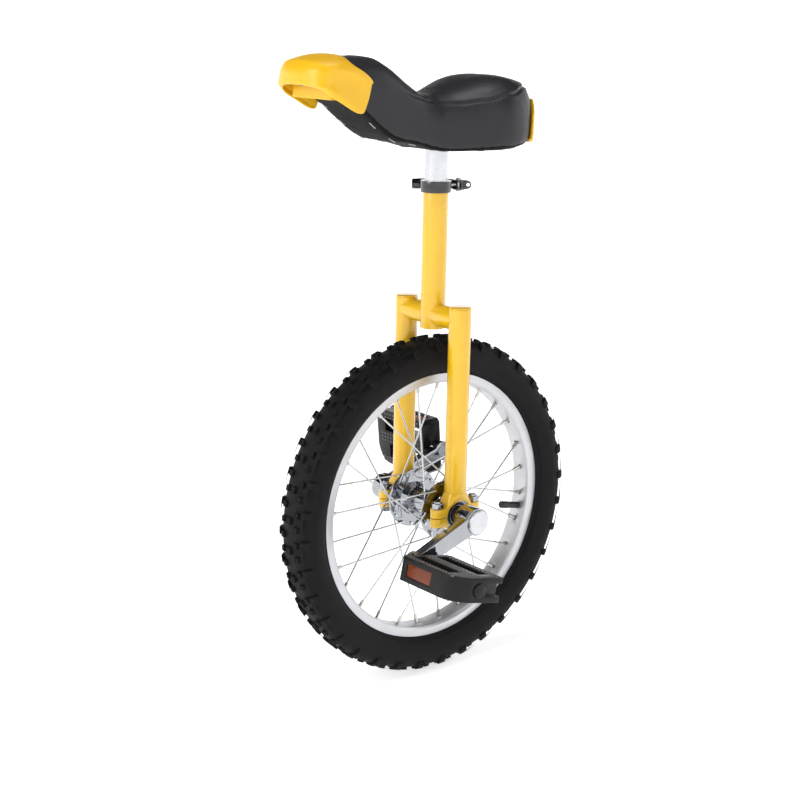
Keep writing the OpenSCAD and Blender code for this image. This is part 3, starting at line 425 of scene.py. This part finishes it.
class UNICYCLE_OT_tyre(bpy.types.Operator):
    """Build the tyre: a smooth casing with rows of tread blocks"""
    bl_idname = "unicycle.tyre"
    bl_label = "Tyre"

    def execute(self, context):
        sizes = context.scene.unicycle_tread
        casing = bmesh.new()
        outside = [(-y, out) for y, out in CASING_OUTSIDE] + CASING_OUTSIDE[::-1]
        inside = CASING_INSIDE[::-1] + [(-y, out) for y, out in CASING_INSIDE]
        spun(casing, outside + inside, 240)
        bmesh.ops.recalc_face_normals(casing, faces=casing.faces)
        blocks = bmesh.new()
        pitch = 2 * math.pi / sizes.blocks
        length = sizes.block_length / MM
        recess = sizes.recess / MM
        for pair in range(2):
            start = pair * pitch
            tread_block(blocks, CROWN_BLOCK, length, start, recess)
            for mirror in (False, True):
                middle = start + pitch * MIDDLE_LAG[mirror]
                tread_block(blocks, MIDDLE_BLOCK, length - 0.6, middle, recess, mirror)
                shoulder = start + SHOULDER_LAG * pitch
                tread_block(blocks, SHOULDER_BLOCK, length + SHOULDER_CHANGE[pair], shoulder, SHOULDER_RECESS,
                            mirror)
        repeats = sizes.blocks // 2
        bmesh.ops.spin(blocks, geom=blocks.verts[:] + blocks.edges[:] + blocks.faces[:], cent=(0, 0, 0),
                       axis=(0, 1, 0), angle=2 * math.pi * (repeats - 1) / repeats, steps=repeats - 1,
                       use_duplicate=True)
        mesh = bpy.data.meshes.new("tread")
        blocks.to_mesh(mesh)
        blocks.free()
        casing.from_mesh(mesh)
        bpy.data.meshes.remove(mesh)
        moved(casing, Matrix.Translation(AXLE) @ Matrix.Scale(MM, 4))
        piece("knobbly_tyre", casing, "wheel", [FINISHES["tyre_rubber"]], replaces=("tyre",),
              sharp=30, recalc=False)
        return {"FINISHED"}


# ---------- frame, wheel and cranks ----------

# how far the edges of each piece are rounded over, in millimetres
FRAME_EDGES = {
    "seat_tube": 0.5, "crown_tube": 0.4, "left_fork_leg": 0.4, "right_fork_leg": 0.4,
    "left_leg_cap": 0.9, "right_leg_cap": 0.9, "left_bearing_seat": 1.3, "right_bearing_seat": 1.3,
    "left_bearing_cap": 1.3, "right_bearing_cap": 1.3, "clamp_collar": 0.8, "clamp_lever": 0.9,
    "clamp_adjusting_nut": 0.8, "bearing_cap_bolts": 0.5, "bearing_cap_nuts": 0.6,
}
CRANK_EDGES = {
    "left_crank": 2.2, "right_crank": 2.2, "dust_caps": 0.7, "hub_shell": 0.8, "rim": 0.6, "valve_cap": 0.5,
}


class UNICYCLE_OT_frame(bpy.types.Operator):
    """Round the edges of the fork, crown, housings, clamp and seat tube"""
    bl_idname = "unicycle.frame"
    bl_label = "Frame"

    def execute(self, context):
        for node, radius in FRAME_EDGES.items():
            softened(node, "soft_" + node, FINISHES[slot_of(node)], radius * MM)
        return {"FINISHED"}


class UNICYCLE_OT_cranks(bpy.types.Operator):
    """Round the edges of the cranks, dust caps, hub, rim and valve cap"""
    bl_idname = "unicycle.cranks"
    bl_label = "Cranks and hub"

    def execute(self, context):
        for node, radius in CRANK_EDGES.items():
            softened(node, "soft_" + node, FINISHES[slot_of(node)], radius * MM, segments=3)
        return {"FINISHED"}


# ---------- saddle ----------

# height of the sewn seam between the top and side panels, (x, z) in millimetres
SEAM_LINE = [(-131, 684), (-115, 686), (-98, 685), (-79, 683.5), (-51, 677.5), (-20, 670.5), (5, 667.5),
             (25, 667.5), (40, 670.5), (58, 675), (76, 680.5)]
SEAM_END_X = 78


def seam_height(x):
    return along(SEAM_LINE, x)


def seam_weight(x):
    """How strongly the seam shows at x: full behind, fading out where the nose begins."""
    return min(1.0, max(0.0, (SEAM_END_X - x) / 22))


def join_copies(nodes):
    bm = bmesh.new()
    for node in nodes:
        bm.from_mesh(frame["nodes"][node].data)
    bmesh.ops.remove_doubles(bm, verts=bm.verts, dist=MERGE_DISTANCE)
    return bm


def remeshed(name, bm, step, smooth=0, smooth_factor=0.5):
    """A closed even skin over everything in bm, as a mesh object."""
    mesh = bpy.data.meshes.new(name)
    bm.to_mesh(mesh)
    bm.free()
    obj = bpy.data.objects.new(name, mesh)
    bpy.context.scene.collection.objects.link(obj)
    skin = obj.modifiers.new("skin", "REMESH")
    skin.mode = "VOXEL"
    skin.voxel_size = step
    if smooth:
        relax = obj.modifiers.new("relax", "SMOOTH")
        relax.factor = smooth_factor
        relax.iterations = smooth
    apply_modifiers(obj)
    return obj


def apply_modifiers(obj):
    bpy.context.view_layer.update()
    made = bpy.data.meshes.new_from_object(obj.evaluated_get(bpy.context.evaluated_depsgraph_get()))
    made.name = obj.name
    obj.modifiers.clear()
    old, obj.data = obj.data, made
    bpy.data.meshes.remove(old)


def blow_up(obj, held, swell):
    """Fill the cushion: cloth under pressure, held at the seam and underside, and capped."""
    rest = [v.co.copy() for v in obj.data.vertices]
    group = obj.vertex_groups.new(name="held")
    for index, weight in held.items():
        group.add([index], weight, "REPLACE")
    cloth = obj.modifiers.new("filling", "CLOTH")
    cloth.settings.use_pressure = True
    cloth.settings.uniform_pressure_force = 4.0
    cloth.settings.vertex_group_mass = "held"
    cloth.settings.effector_weights.gravity = 0.0
    cloth.settings.quality = 4
    cloth.point_cache.frame_start = 1
    cloth.point_cache.frame_end = 20
    for step in range(1, 21):
        bpy.context.scene.frame_set(step)
    apply_modifiers(obj)
    bpy.context.scene.frame_set(1)
    for vertex, start in zip(obj.data.vertices, rest):
        push = vertex.co - start
        if push.length > swell:
            vertex.co = start + push.normalized() * swell


class UNICYCLE_OT_cushion(bpy.types.Operator):
    """Make the padded saddle: blown-up cover, pulled-in seam and the moulded base underneath"""
    bl_idname = "unicycle.cushion"
    bl_label = "Cushion"

    def execute(self, context):
        sizes = context.scene.unicycle_cushion
        solid = join_copies(("saddle_cover", "saddle_foam", "saddle_base"))
        obj = remeshed("saddle_cushion", solid, sizes.voxel, smooth=6)
        held = {}
        for v in obj.data.vertices:
            x, z = v.co.x / MM, v.co.z / MM
            near_seam = abs(z - seam_height(x)) < 3.2 and abs(v.normal.z) < 0.85 and x < SEAM_END_X
            if v.normal.z < -0.35 or near_seam or x > 160:
                held[v.index] = 1.0
        blow_up(obj, held, sizes.swell)
        even = obj.modifiers.new("even", "SUBSURF")
        even.levels = even.render_levels = 2
        apply_modifiers(obj)
        bm = bmesh.new()
        bm.from_mesh(obj.data)
        for _ in range(3):
            bmesh.ops.smooth_vert(bm, verts=bm.verts, factor=0.5,
                                  use_axis_x=True, use_axis_y=True, use_axis_z=True)
        bm.normal_update()
        moves = []
        for v in bm.verts:
            x, z = v.co.x / MM, v.co.z / MM
            push = 0.0
            if v.normal.z > -0.3 and x < SEAM_END_X:
                off = z - seam_height(x)
                push -= sizes.seam_depth * math.exp(-(off / 1.1) ** 2) * seam_weight(x)
                push += 0.0003 * math.exp(-((off + 3.2) / 1.8) ** 2) * seam_weight(x)
                push += 0.0005 * math.exp(-((off - 3.0) / 1.8) ** 2) * seam_weight(x)
            moves.append(push)
        for v, push in zip(bm.verts, moves):
            v.co += v.normal * (push + 0.0004)
        bm.to_mesh(obj.data)
        bm.free()
        obj.data.shade_smooth()
        obj.data.materials.append(FINISHES["black_vinyl"])
        obj.data.materials.append(FINISHES["base_plastic"])
        for face in obj.data.polygons:  # the moulded base shows underneath
            if face.normal.z < -0.55:
                face.material_index = 1
        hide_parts("saddle_cover", "saddle_foam")
        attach(obj, "seat")
        return {"FINISHED"}


def surface_finder(name):
    obj = bpy.data.objects[name]
    bm = bmesh.new()
    bm.from_mesh(obj.data)
    tree = BVHTree.FromBMesh(bm)
    bm.free()
    return tree


def threads(bm, spots, thickness):
    """Lay a short rounded thread on the surface at each (middle, direction, outwards, length)."""
    for middle, direction, outward, length in spots:
        z_axis = direction.normalized()
        x_axis = (outward - z_axis * outward.dot(z_axis)).normalized()
        y_axis = z_axis.cross(x_axis)
        turn = Matrix((x_axis, y_axis, z_axis)).transposed().to_4x4()
        bmesh.ops.create_cone(bm, cap_ends=True, segments=6, radius1=thickness / 2, radius2=thickness / 2,
                              depth=length, matrix=Matrix.Translation(middle) @ turn)


class UNICYCLE_OT_sewing(bpy.types.Operator):
    """Sew the saddle: stitch rows above and below the seam, rows behind the handle, and staples"""
    bl_idname = "unicycle.sewing"
    bl_label = "Sewing and staples"

    def execute(self, context):
        sizes = context.scene.unicycle_cushion
        skin = surface_finder("saddle_cushion")
        spots = []
        for lift, reach in ((0.0030, 60), (-0.0030, 30)):
            path = []
            for step in range(0, 721):  # walk round the seam from one side of the nose to the other
                turn = math.radians(-180 + step / 2)
                aim = Vector((math.cos(turn), math.sin(turn), 0))
                start = Vector((-0.03, 0, 0)) + aim * 0.3
                x_guess = -0.03 + aim.x * 0.07
                for _ in range(4):
                    level = seam_height(x_guess / MM) * MM + lift
                    hit = skin.ray_cast(Vector((start.x, start.y, level)), -aim)
                    if hit[0] is None:
                        break
                    x_guess = hit[0].x
                if hit[0] is not None and hit[0].x < reach * MM:
                    path.append((hit[0], hit[1]))
            travelled = 0.0
            due = 0.0
            for (a, na), (b, _) in zip(path, path[1:]):
                gap = (b - a).length
                if gap > 0.012:
                    travelled, due = 0.0, 0.0
                    continue
                travelled += gap
                if travelled >= due:
                    spots.append((a + na * 0.0002, b - a, na, 0.0028))
                    due = travelled + sizes.stitch_pitch
        stitches = bmesh.new()
        threads(stitches, spots, 0.0006)
        piece("saddle_stitches", stitches, "seat", [FINISHES["thread"]], sharp=70)
        # four curved rows of stitches cross the nose behind the handle
        rows = []
        for x0 in (0.096, 0.101, 0.106, 0.111):
            for step in range(-13, 14):
                y = step * 0.0024
                x = x0 + 0.010 * (1 - (y / 0.034) ** 2)
                hit = skin.ray_cast(Vector((x, y, 0.9)), Vector((0, 0, -1)))
                if hit[0] is not None:
                    rows.append((hit[0] + hit[1] * 0.0002, Vector((-0.59 * y, 0.03, 0)), hit[1], 0.0016))
        panel = bmesh.new()
        threads(panel, rows, 0.0007)
        piece("saddle_panel_stitches", panel, "seat", [FINISHES["thread"]], sharp=70)
        wires = bmesh.new()
        spots = []
        for x in (0.058, 0.086, 0.112, 0.136, 0.020, -0.020, -0.060, -0.095):
            for side in (-1, 1):
                y = side * (half_width(skin, x) - 0.012)
                hit = skin.ray_cast(Vector((x, y, 0.5)), Vector((0, 0, 1)))
                ahead = skin.ray_cast(Vector((x + 0.004, y, 0.5)), Vector((0, 0, 1)))
                if hit[0] is not None and ahead[0] is not None:
                    spots.append((hit[0] + hit[1] * 0.0003, ahead[0] - hit[0], hit[1], 0.010))
        threads(wires, spots, 0.0012)
        piece("saddle_staples", wires, "seat", [FINISHES["zinc_steel"]], sharp=70)
        return {"FINISHED"}


def half_width(skin, x):
    """Half the saddle's width at x, a little above its underside."""
    below = skin.ray_cast(Vector((x, 0.02, 0.5)), Vector((0, 0, 1)))
    level = (below[0].z if below[0] is not None else 0.62) + 0.012
    hit = skin.ray_cast(Vector((x, 0.3, level)), Vector((0, -1, 0)))
    return hit[0].y if hit[0] is not None else 0.03


# Front bumper: rows of points down the shell, at stations from the middle of the nose to the flap's end, in
# millimetres from the axle line: edge on the cushion, roll, ridge, scoop, scoop, lower ridge, turned-in edge.
BUMPER_STATIONS = [
    [(146, 0, 518.5), (166, 0, 519.0), (188, 0, 512.0), (196.5, 0, 503),
     (197.5, 0, 494), (197, 0, 488), (192, 0, 486)],
    [(146, 18, 517.5), (166, 19, 518.0), (187, 21, 511.0), (194.5, 22, 502.5),
     (195.5, 22, 494), (195.5, 22, 487.5), (190, 21, 485.5)],
    [(148, 30, 514.5), (165, 32, 515.0), (182, 36, 509.0), (187.5, 38, 502),
     (188, 38, 494), (190, 39, 486.5), (185, 37, 482)],
    [(149, 37, 511.0), (161, 41, 510.5), (173, 44.5, 505.5), (176, 44, 499),
     (176, 43.5, 490), (180, 45.5, 483), (178, 42.5, 474.5)],
    [(145, 41.5, 506.5), (153, 44, 506.0), (161, 45.5, 502.5), (163, 43.5, 496),
     (164, 43, 486), (168, 45.5, 477.5), (166, 43, 469.5)],
    [(135.5, 43, 501.5), (141, 44.5, 501.5), (147, 45.5, 499), (149, 43.5, 492.5),
     (150, 43.2, 481), (153, 45, 467.5), (152, 43.5, 461.5)],
    [(126.5, 43.5, 494.5), (130, 44.5, 495.5), (134.5, 45.2, 494), (136.5, 44, 488),
     (138, 43.8, 476), (142, 44.6, 460.5), (142, 43.5, 457.0)],
    [(122.8, 43.8, 488.5), (124.5, 44.6, 489), (126, 45, 488), (126.5, 44.4, 483),
     (129, 44.2, 472), (134.5, 44.4, 460.0), (135.5, 43.6, 458.0)],
]
# the rows that stay crisp: the upper and the lower ridge
BUMPER_RIDGES = (2, 5)
RIDGE_CREASE = 0.75
HANDLE_WALL = 0.0030
# each side of the stretch of CAD bumper that is kept as the handle's inner wall: a place, and the way out
INNER_WALL_SIDES = (
    ((0.160, 0, 0), (-1, 0, 0)), ((0.1755, 0, 0), (1, 0, 0)), ((0, 0, 0.699), (0, 0, 1)),
    ((0, 0, 0.674), (0, 0, -1)), ((0, 0.034, 0), (0, 1, 0)), ((0, -0.034, 0), (0, -1, 0)),
)


class UNICYCLE_OT_bumpers(bpy.types.Operator):
    """Model the moulded grab handle at the front and the bumper at the back"""
    bl_idname = "unicycle.bumpers"
    bl_label = "Bumpers"

    def execute(self, context):
        bm = bmesh.new()
        stations = [[Vector((x, -y, z)) for x, y, z in row] for row in BUMPER_STATIONS[:0:-1]]
        stations += [[Vector(point) for point in row] for row in BUMPER_STATIONS]
        rows = [[bm.verts.new(point) for point in row] for row in stations]
        loops = [[bm.edges.new(pair) for pair in zip(row, row[1:])] for row in rows]
        for one, two in zip(loops, loops[1:]):
            bmesh.ops.bridge_loops(bm, edges=one + two)
        crease = bm.edges.layers.float.new("crease_edge")
        for one, two in zip(rows, rows[1:]):
            for ridge in BUMPER_RIDGES:
                edge = bm.edges.get((one[ridge], two[ridge]))
                if edge:
                    edge[crease] = RIDGE_CREASE
        bmesh.ops.recalc_face_normals(bm, faces=bm.faces)
        lip = max(bm.faces, key=lambda f: f.calc_center_median().x)
        if lip.normal.x < 0:
            bmesh.ops.reverse_faces(bm, faces=bm.faces)
        moved(bm, Matrix.Translation(AXLE) @ Matrix.Scale(MM, 4))
        obj = piece("grab_handle", bm, "seat", [FINISHES["yellow_plastic"]],
                    replaces=("front_bumper",), sharp=180, recalc=False)
        wall = obj.modifiers.new("wall", "SOLIDIFY")
        wall.thickness = HANDLE_WALL
        wall.offset = -1
        even = obj.modifiers.new("even", "SUBSURF")
        even.levels = even.render_levels = 3
        inner = copy_of("front_bumper")
        for spot, facing in INNER_WALL_SIDES:
            cut = bmesh.ops.bisect_plane(inner, geom=inner.verts[:] + inner.edges[:] + inner.faces[:],
                                         plane_co=spot, plane_no=facing, clear_outer=True)["geom_cut"]
            bmesh.ops.holes_fill(inner, edges=[e for e in cut if isinstance(e, bmesh.types.BMEdge)])
        wall = remeshed("handle_inner_wall", inner, 0.001, smooth=4)
        wall.data.shade_smooth()
        wall.data.materials.append(FINISHES["yellow_plastic"])
        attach(wall, "seat")
        rear = remeshed("rear_bumper_shell", join_copies(("rear_bumper",)), 0.0013, smooth=14)
        rear.data.shade_smooth()
        rear.data.materials.append(FINISHES["yellow_plastic"])
        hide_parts("rear_bumper")
        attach(rear, "seat")
        return {"FINISHED"}


# ---------- pedals ----------

def pedal_place(side):
    """The matrix that carries a pedal drawn round its spindle, in millimetres, to its place."""
    joint = next(j for j in frame["record"]["behaviour"]["joints"] if j["name"] == side + "_pedal_spin")
    mount = next(m for m in frame["record"]["mounts"] if m["name"] == side + "_pedal_tread")
    spot = Vector(joint["pos_m"])
    up = Vector(mount["axis"])
    tilt = math.atan2(up.x, up.z)
    mirror = Matrix.Diagonal((1, 1 if side == "left" else -1, 1, 1))
    place = Matrix.Translation((spot.x, 0, spot.z))
    return place @ mirror @ Matrix.Rotation(tilt, 4, "Y") @ Matrix.Scale(MM, 4)


def tooth_row(bm, start, end, pitch, across, rise, base, up):
    """A row of small pyramid teeth along a tread rail."""
    run = Vector(end) - Vector(start)
    count = int(run.length / pitch)
    for i in range(count + 1):
        spot = Vector(start) + run * (i / count)
        turn = Matrix.Rotation(0 if up > 0 else math.pi, 4, "X") @ Matrix.Rotation(math.pi / 4, 4, "Z")
        place = Matrix.Translation((spot.x, spot.y, up * (base + rise / 2)))
        made = bmesh.ops.create_cone(bm, cap_ends=False, segments=4, radius1=across / 2, radius2=across / 5,
                                     depth=rise, matrix=place @ turn)
        tip = [v for v in made["verts"] if abs(v.co.z) > base + rise * 0.6]
        bmesh.ops.contextual_create(bm, geom=tip)


class UNICYCLE_OT_pedals(bpy.types.Operator):
    """Round the pedal bodies, add their toothed treads, and round the reflectors"""
    bl_idname = "unicycle.pedals"
    bl_label = "Pedals"

    def execute(self, context):
        for side in ("left", "right"):
            softened(side + "_pedal_body", side + "_pedal_frame", FINISHES["pedal_plastic"], 0.0013,
                     segments=3)
            softened(side + "_pedal_reflectors", side + "_pedal_lenses", FINISHES["amber_reflector"], 0.0006)
            softened(side + "_pedal_end_cap", side + "_pedal_cap", FINISHES["pedal_plastic"], 0.0008)
            bm = bmesh.new()
            for up in (-1, 1):
                for x in (-31.5, -26.5, -4.5, 0.0, 4.5, 27.0, 31.5):
                    last = 178 if x > 20 else (184 if x < -20 else 180)
                    tooth_row(bm, (x, 103, 0), (x, last, 0), 5.2, 4.6, 1.5, 12.6, up)
            moved(bm, pedal_place(side))
            # the teeth get the nylon whose pale grey is a painted highlight
            piece(side + "_pedal_teeth", bm, side + "_pedal", [FINISHES["scuffed_plastic"]],
                  sharp=20)
        return {"FINISHED"}


# ---------- finishes on the CAD pieces that are shown as they are, and the studio ----------

class UNICYCLE_OT_finishes(bpy.types.Operator):
    """Give every CAD piece that is still shown its finish"""
    bl_idname = "unicycle.finishes"
    bl_label = "Finishes"

    def execute(self, context):
        for node, obj in frame["nodes"].items():
            if obj.hide_render:
                continue
            obj.data.materials.clear()
            obj.data.materials.append(FINISHES[slot_of(node)])
        return {"FINISHED"}


# the paper bowl's outline in metres: how far the floor is flat, the bend up into the wall, and the wall's top
FLOOR_FLAT = 2.6
FLOOR_BEND = 0.9
WALL_TOP = 2.6
FELT_FROM = 1.5
# each lamp's name, its place and size in metres, and its power in watts
LAMPS = (
    ("key_softbox", (2.3, -0.3, 1.7), (1.0, 1.5), 30),
    ("fill_softbox", (0.2, 2.5, 1.9), (1.2, 1.0), 9),
    ("back_softbox", (-2.2, 0.9, 1.6), (0.6, 1.6), 9),
    ("top_softbox", (0.0, 0.0, 2.7), (1.2, 1.2), 22),
)
LAMPS_AIM = Vector((0, 0, 0.4))


class UNICYCLE_OT_stage(bpy.types.Operator):
    """Set the pale floor, the soft lights and the camera"""
    bl_idname = "unicycle.stage"
    bl_label = "Stage"

    def execute(self, context):
        studio = context.scene.unicycle_studio
        scene = context.scene
        # a seamless paper bowl: flat floor that curves up into a wall all round
        bm = bmesh.new()
        bend = [math.radians(a) for a in range(10, 91, 10)]
        outline = [(0, 0), (1.2, 0), (FLOOR_FLAT, 0)]
        outline += [(FLOOR_FLAT + FLOOR_BEND * math.sin(a), FLOOR_BEND - FLOOR_BEND * math.cos(a))
                    for a in bend]
        outline += [(FLOOR_FLAT + FLOOR_BEND, 1.6), (FLOOR_FLAT + FLOOR_BEND, WALL_TOP)]
        verts = [bm.verts.new((out, 0, up)) for out, up in outline]
        edges = [bm.edges.new(pair) for pair in zip(verts, verts[1:])]
        bmesh.ops.spin(bm, geom=verts + edges, cent=(0, 0, 0), axis=(0, 0, 1), angle=2 * math.pi, steps=64,
                       use_merge=True)
        bmesh.ops.remove_doubles(bm, verts=bm.verts, dist=0.0001)
        bmesh.ops.recalc_face_normals(bm, faces=bm.faces)
        if bm.faces[0].normal.z < 0:
            bmesh.ops.reverse_faces(bm, faces=bm.faces)
        mesh = bpy.data.meshes.new("paper_floor")
        bm.to_mesh(mesh)
        bm.free()
        mesh.shade_smooth()
        floor = bpy.data.objects.new("paper_floor", mesh)
        scene.collection.objects.link(floor)
        # Matt studio paper that glows a little, as if lit from behind: near white, a trace of fibre.
        mesh.materials.append(finish("matt_studio_paper", "#F7F7F7", "#F4F4F4", 60, 0.9, 0.03, 1.0, 0.02,
                                     Specular_IOR_Level=0.1, Emission_Color=(1, 1, 1, 1),
                                     Emission_Strength=0.62))
        # Dark wool felt hung above the paper: gives gloss and chrome something dark to mirror.
        mesh.materials.append(finish("dark_wool_felt", "#2A2A2C", "#303032", 60, 0.95, 0.03, 2.0, 0.1,
                                     Specular_IOR_Level=0.1))
        for face in mesh.polygons:
            if face.center.z > FELT_FROM:
                face.material_index = 1

        world = bpy.data.worlds.new("studio")
        scene.world = world
        world.use_nodes = True
        world.node_tree.nodes["Background"].inputs["Color"].default_value = (0.95, 0.97, 1.0, 1)
        world.node_tree.nodes["Background"].inputs["Strength"].default_value = 0.08 * studio.light

        for name, place, size, power in LAMPS:
            data = bpy.data.lights.new(name, "AREA")
            data.shape = "RECTANGLE"
            data.size, data.size_y = size
            data.energy = power * studio.light
            lamp = bpy.data.objects.new(name, data)
            scene.collection.objects.link(lamp)
            lamp.location = place
            lamp.rotation_euler = (LAMPS_AIM - Vector(place)).to_track_quat("-Z", "Y").to_euler()

        azimuth, elevation, roll = (math.radians(v) for v in (studio.azimuth, studio.elevation, studio.roll))
        back = Vector((math.sin(azimuth) * math.cos(elevation), -math.cos(azimuth) * math.cos(elevation),
                       math.sin(elevation)))
        right = Vector((math.cos(azimuth), math.sin(azimuth), 0))
        up = back.cross(right)
        turned_right = math.cos(roll) * right + math.sin(roll) * up
        turned_up = -math.sin(roll) * right + math.cos(roll) * up
        camera = bpy.data.objects.new("camera", bpy.data.cameras.new("camera"))
        camera.data.lens = studio.lens
        camera.data.sensor_width = 36
        camera.matrix_world = (Matrix.Translation(studio.place)
                               @ Matrix((turned_right, turned_up, back)).transposed().to_4x4())
        scene.collection.objects.link(camera)
        scene.camera = camera
        scene.view_settings.view_transform = "Standard"
        return {"FINISHED"}


class UNICYCLE_PT_panel(bpy.types.Panel):
    """Sizes, colours and the building steps"""
    bl_idname = "UNICYCLE_PT_panel"
    bl_label = "Unicycle"
    bl_space_type = "VIEW_3D"
    bl_region_type = "UI"
    bl_category = "Unicycle"

    def draw(self, context):
        for group_name in GROUPS:
            group = getattr(context.scene, group_name)
            box = self.layout.box()
            for name in group.__annotations__:
                box.prop(group, name)
        for operator in OPERATORS:
            self.layout.operator(operator.bl_idname)


OPERATORS = (UNICYCLE_OT_tyre, UNICYCLE_OT_frame, UNICYCLE_OT_cranks, UNICYCLE_OT_cushion, UNICYCLE_OT_sewing,
             UNICYCLE_OT_bumpers, UNICYCLE_OT_pedals, UNICYCLE_OT_finishes, UNICYCLE_OT_stage)
GROUPS = {"unicycle_tread": TreadSizes, "unicycle_cushion": CushionSizes, "unicycle_colours": FinishColours,
          "unicycle_studio": StudioSizes}


def register():
    for cls in (*GROUPS.values(), *OPERATORS, UNICYCLE_PT_panel):
        bpy.utils.register_class(cls)
    for name, group in GROUPS.items():
        setattr(bpy.types.Scene, name, PointerProperty(type=group))


def unregister():
    for name in GROUPS:
        delattr(bpy.types.Scene, name)
    for cls in (UNICYCLE_PT_panel, *reversed(OPERATORS), *reversed(list(GROUPS.values()))):
        bpy.utils.unregister_class(cls)


def main():
    register()
    FINISHES.update(make_finishes(bpy.context.scene.unicycle_colours))
    # Bonded polyester thread: dull charcoal, a shade lighter than the vinyl it is sewn in.
    FINISHES["thread"] = finish("bonded_polyester_thread", "#3B3A3F", "#2E2D31", 3, 0.6, 0.05, 0.3, 0.02)
    bpy.ops.unicycle.tyre()
    bpy.ops.unicycle.frame()
    bpy.ops.unicycle.cranks()
    bpy.ops.unicycle.cushion()
    bpy.ops.unicycle.sewing()
    bpy.ops.unicycle.bumpers()
    bpy.ops.unicycle.pedals()
    bpy.ops.unicycle.finishes()
    bpy.ops.unicycle.stage()


if __name__ == "__main__":
    main()
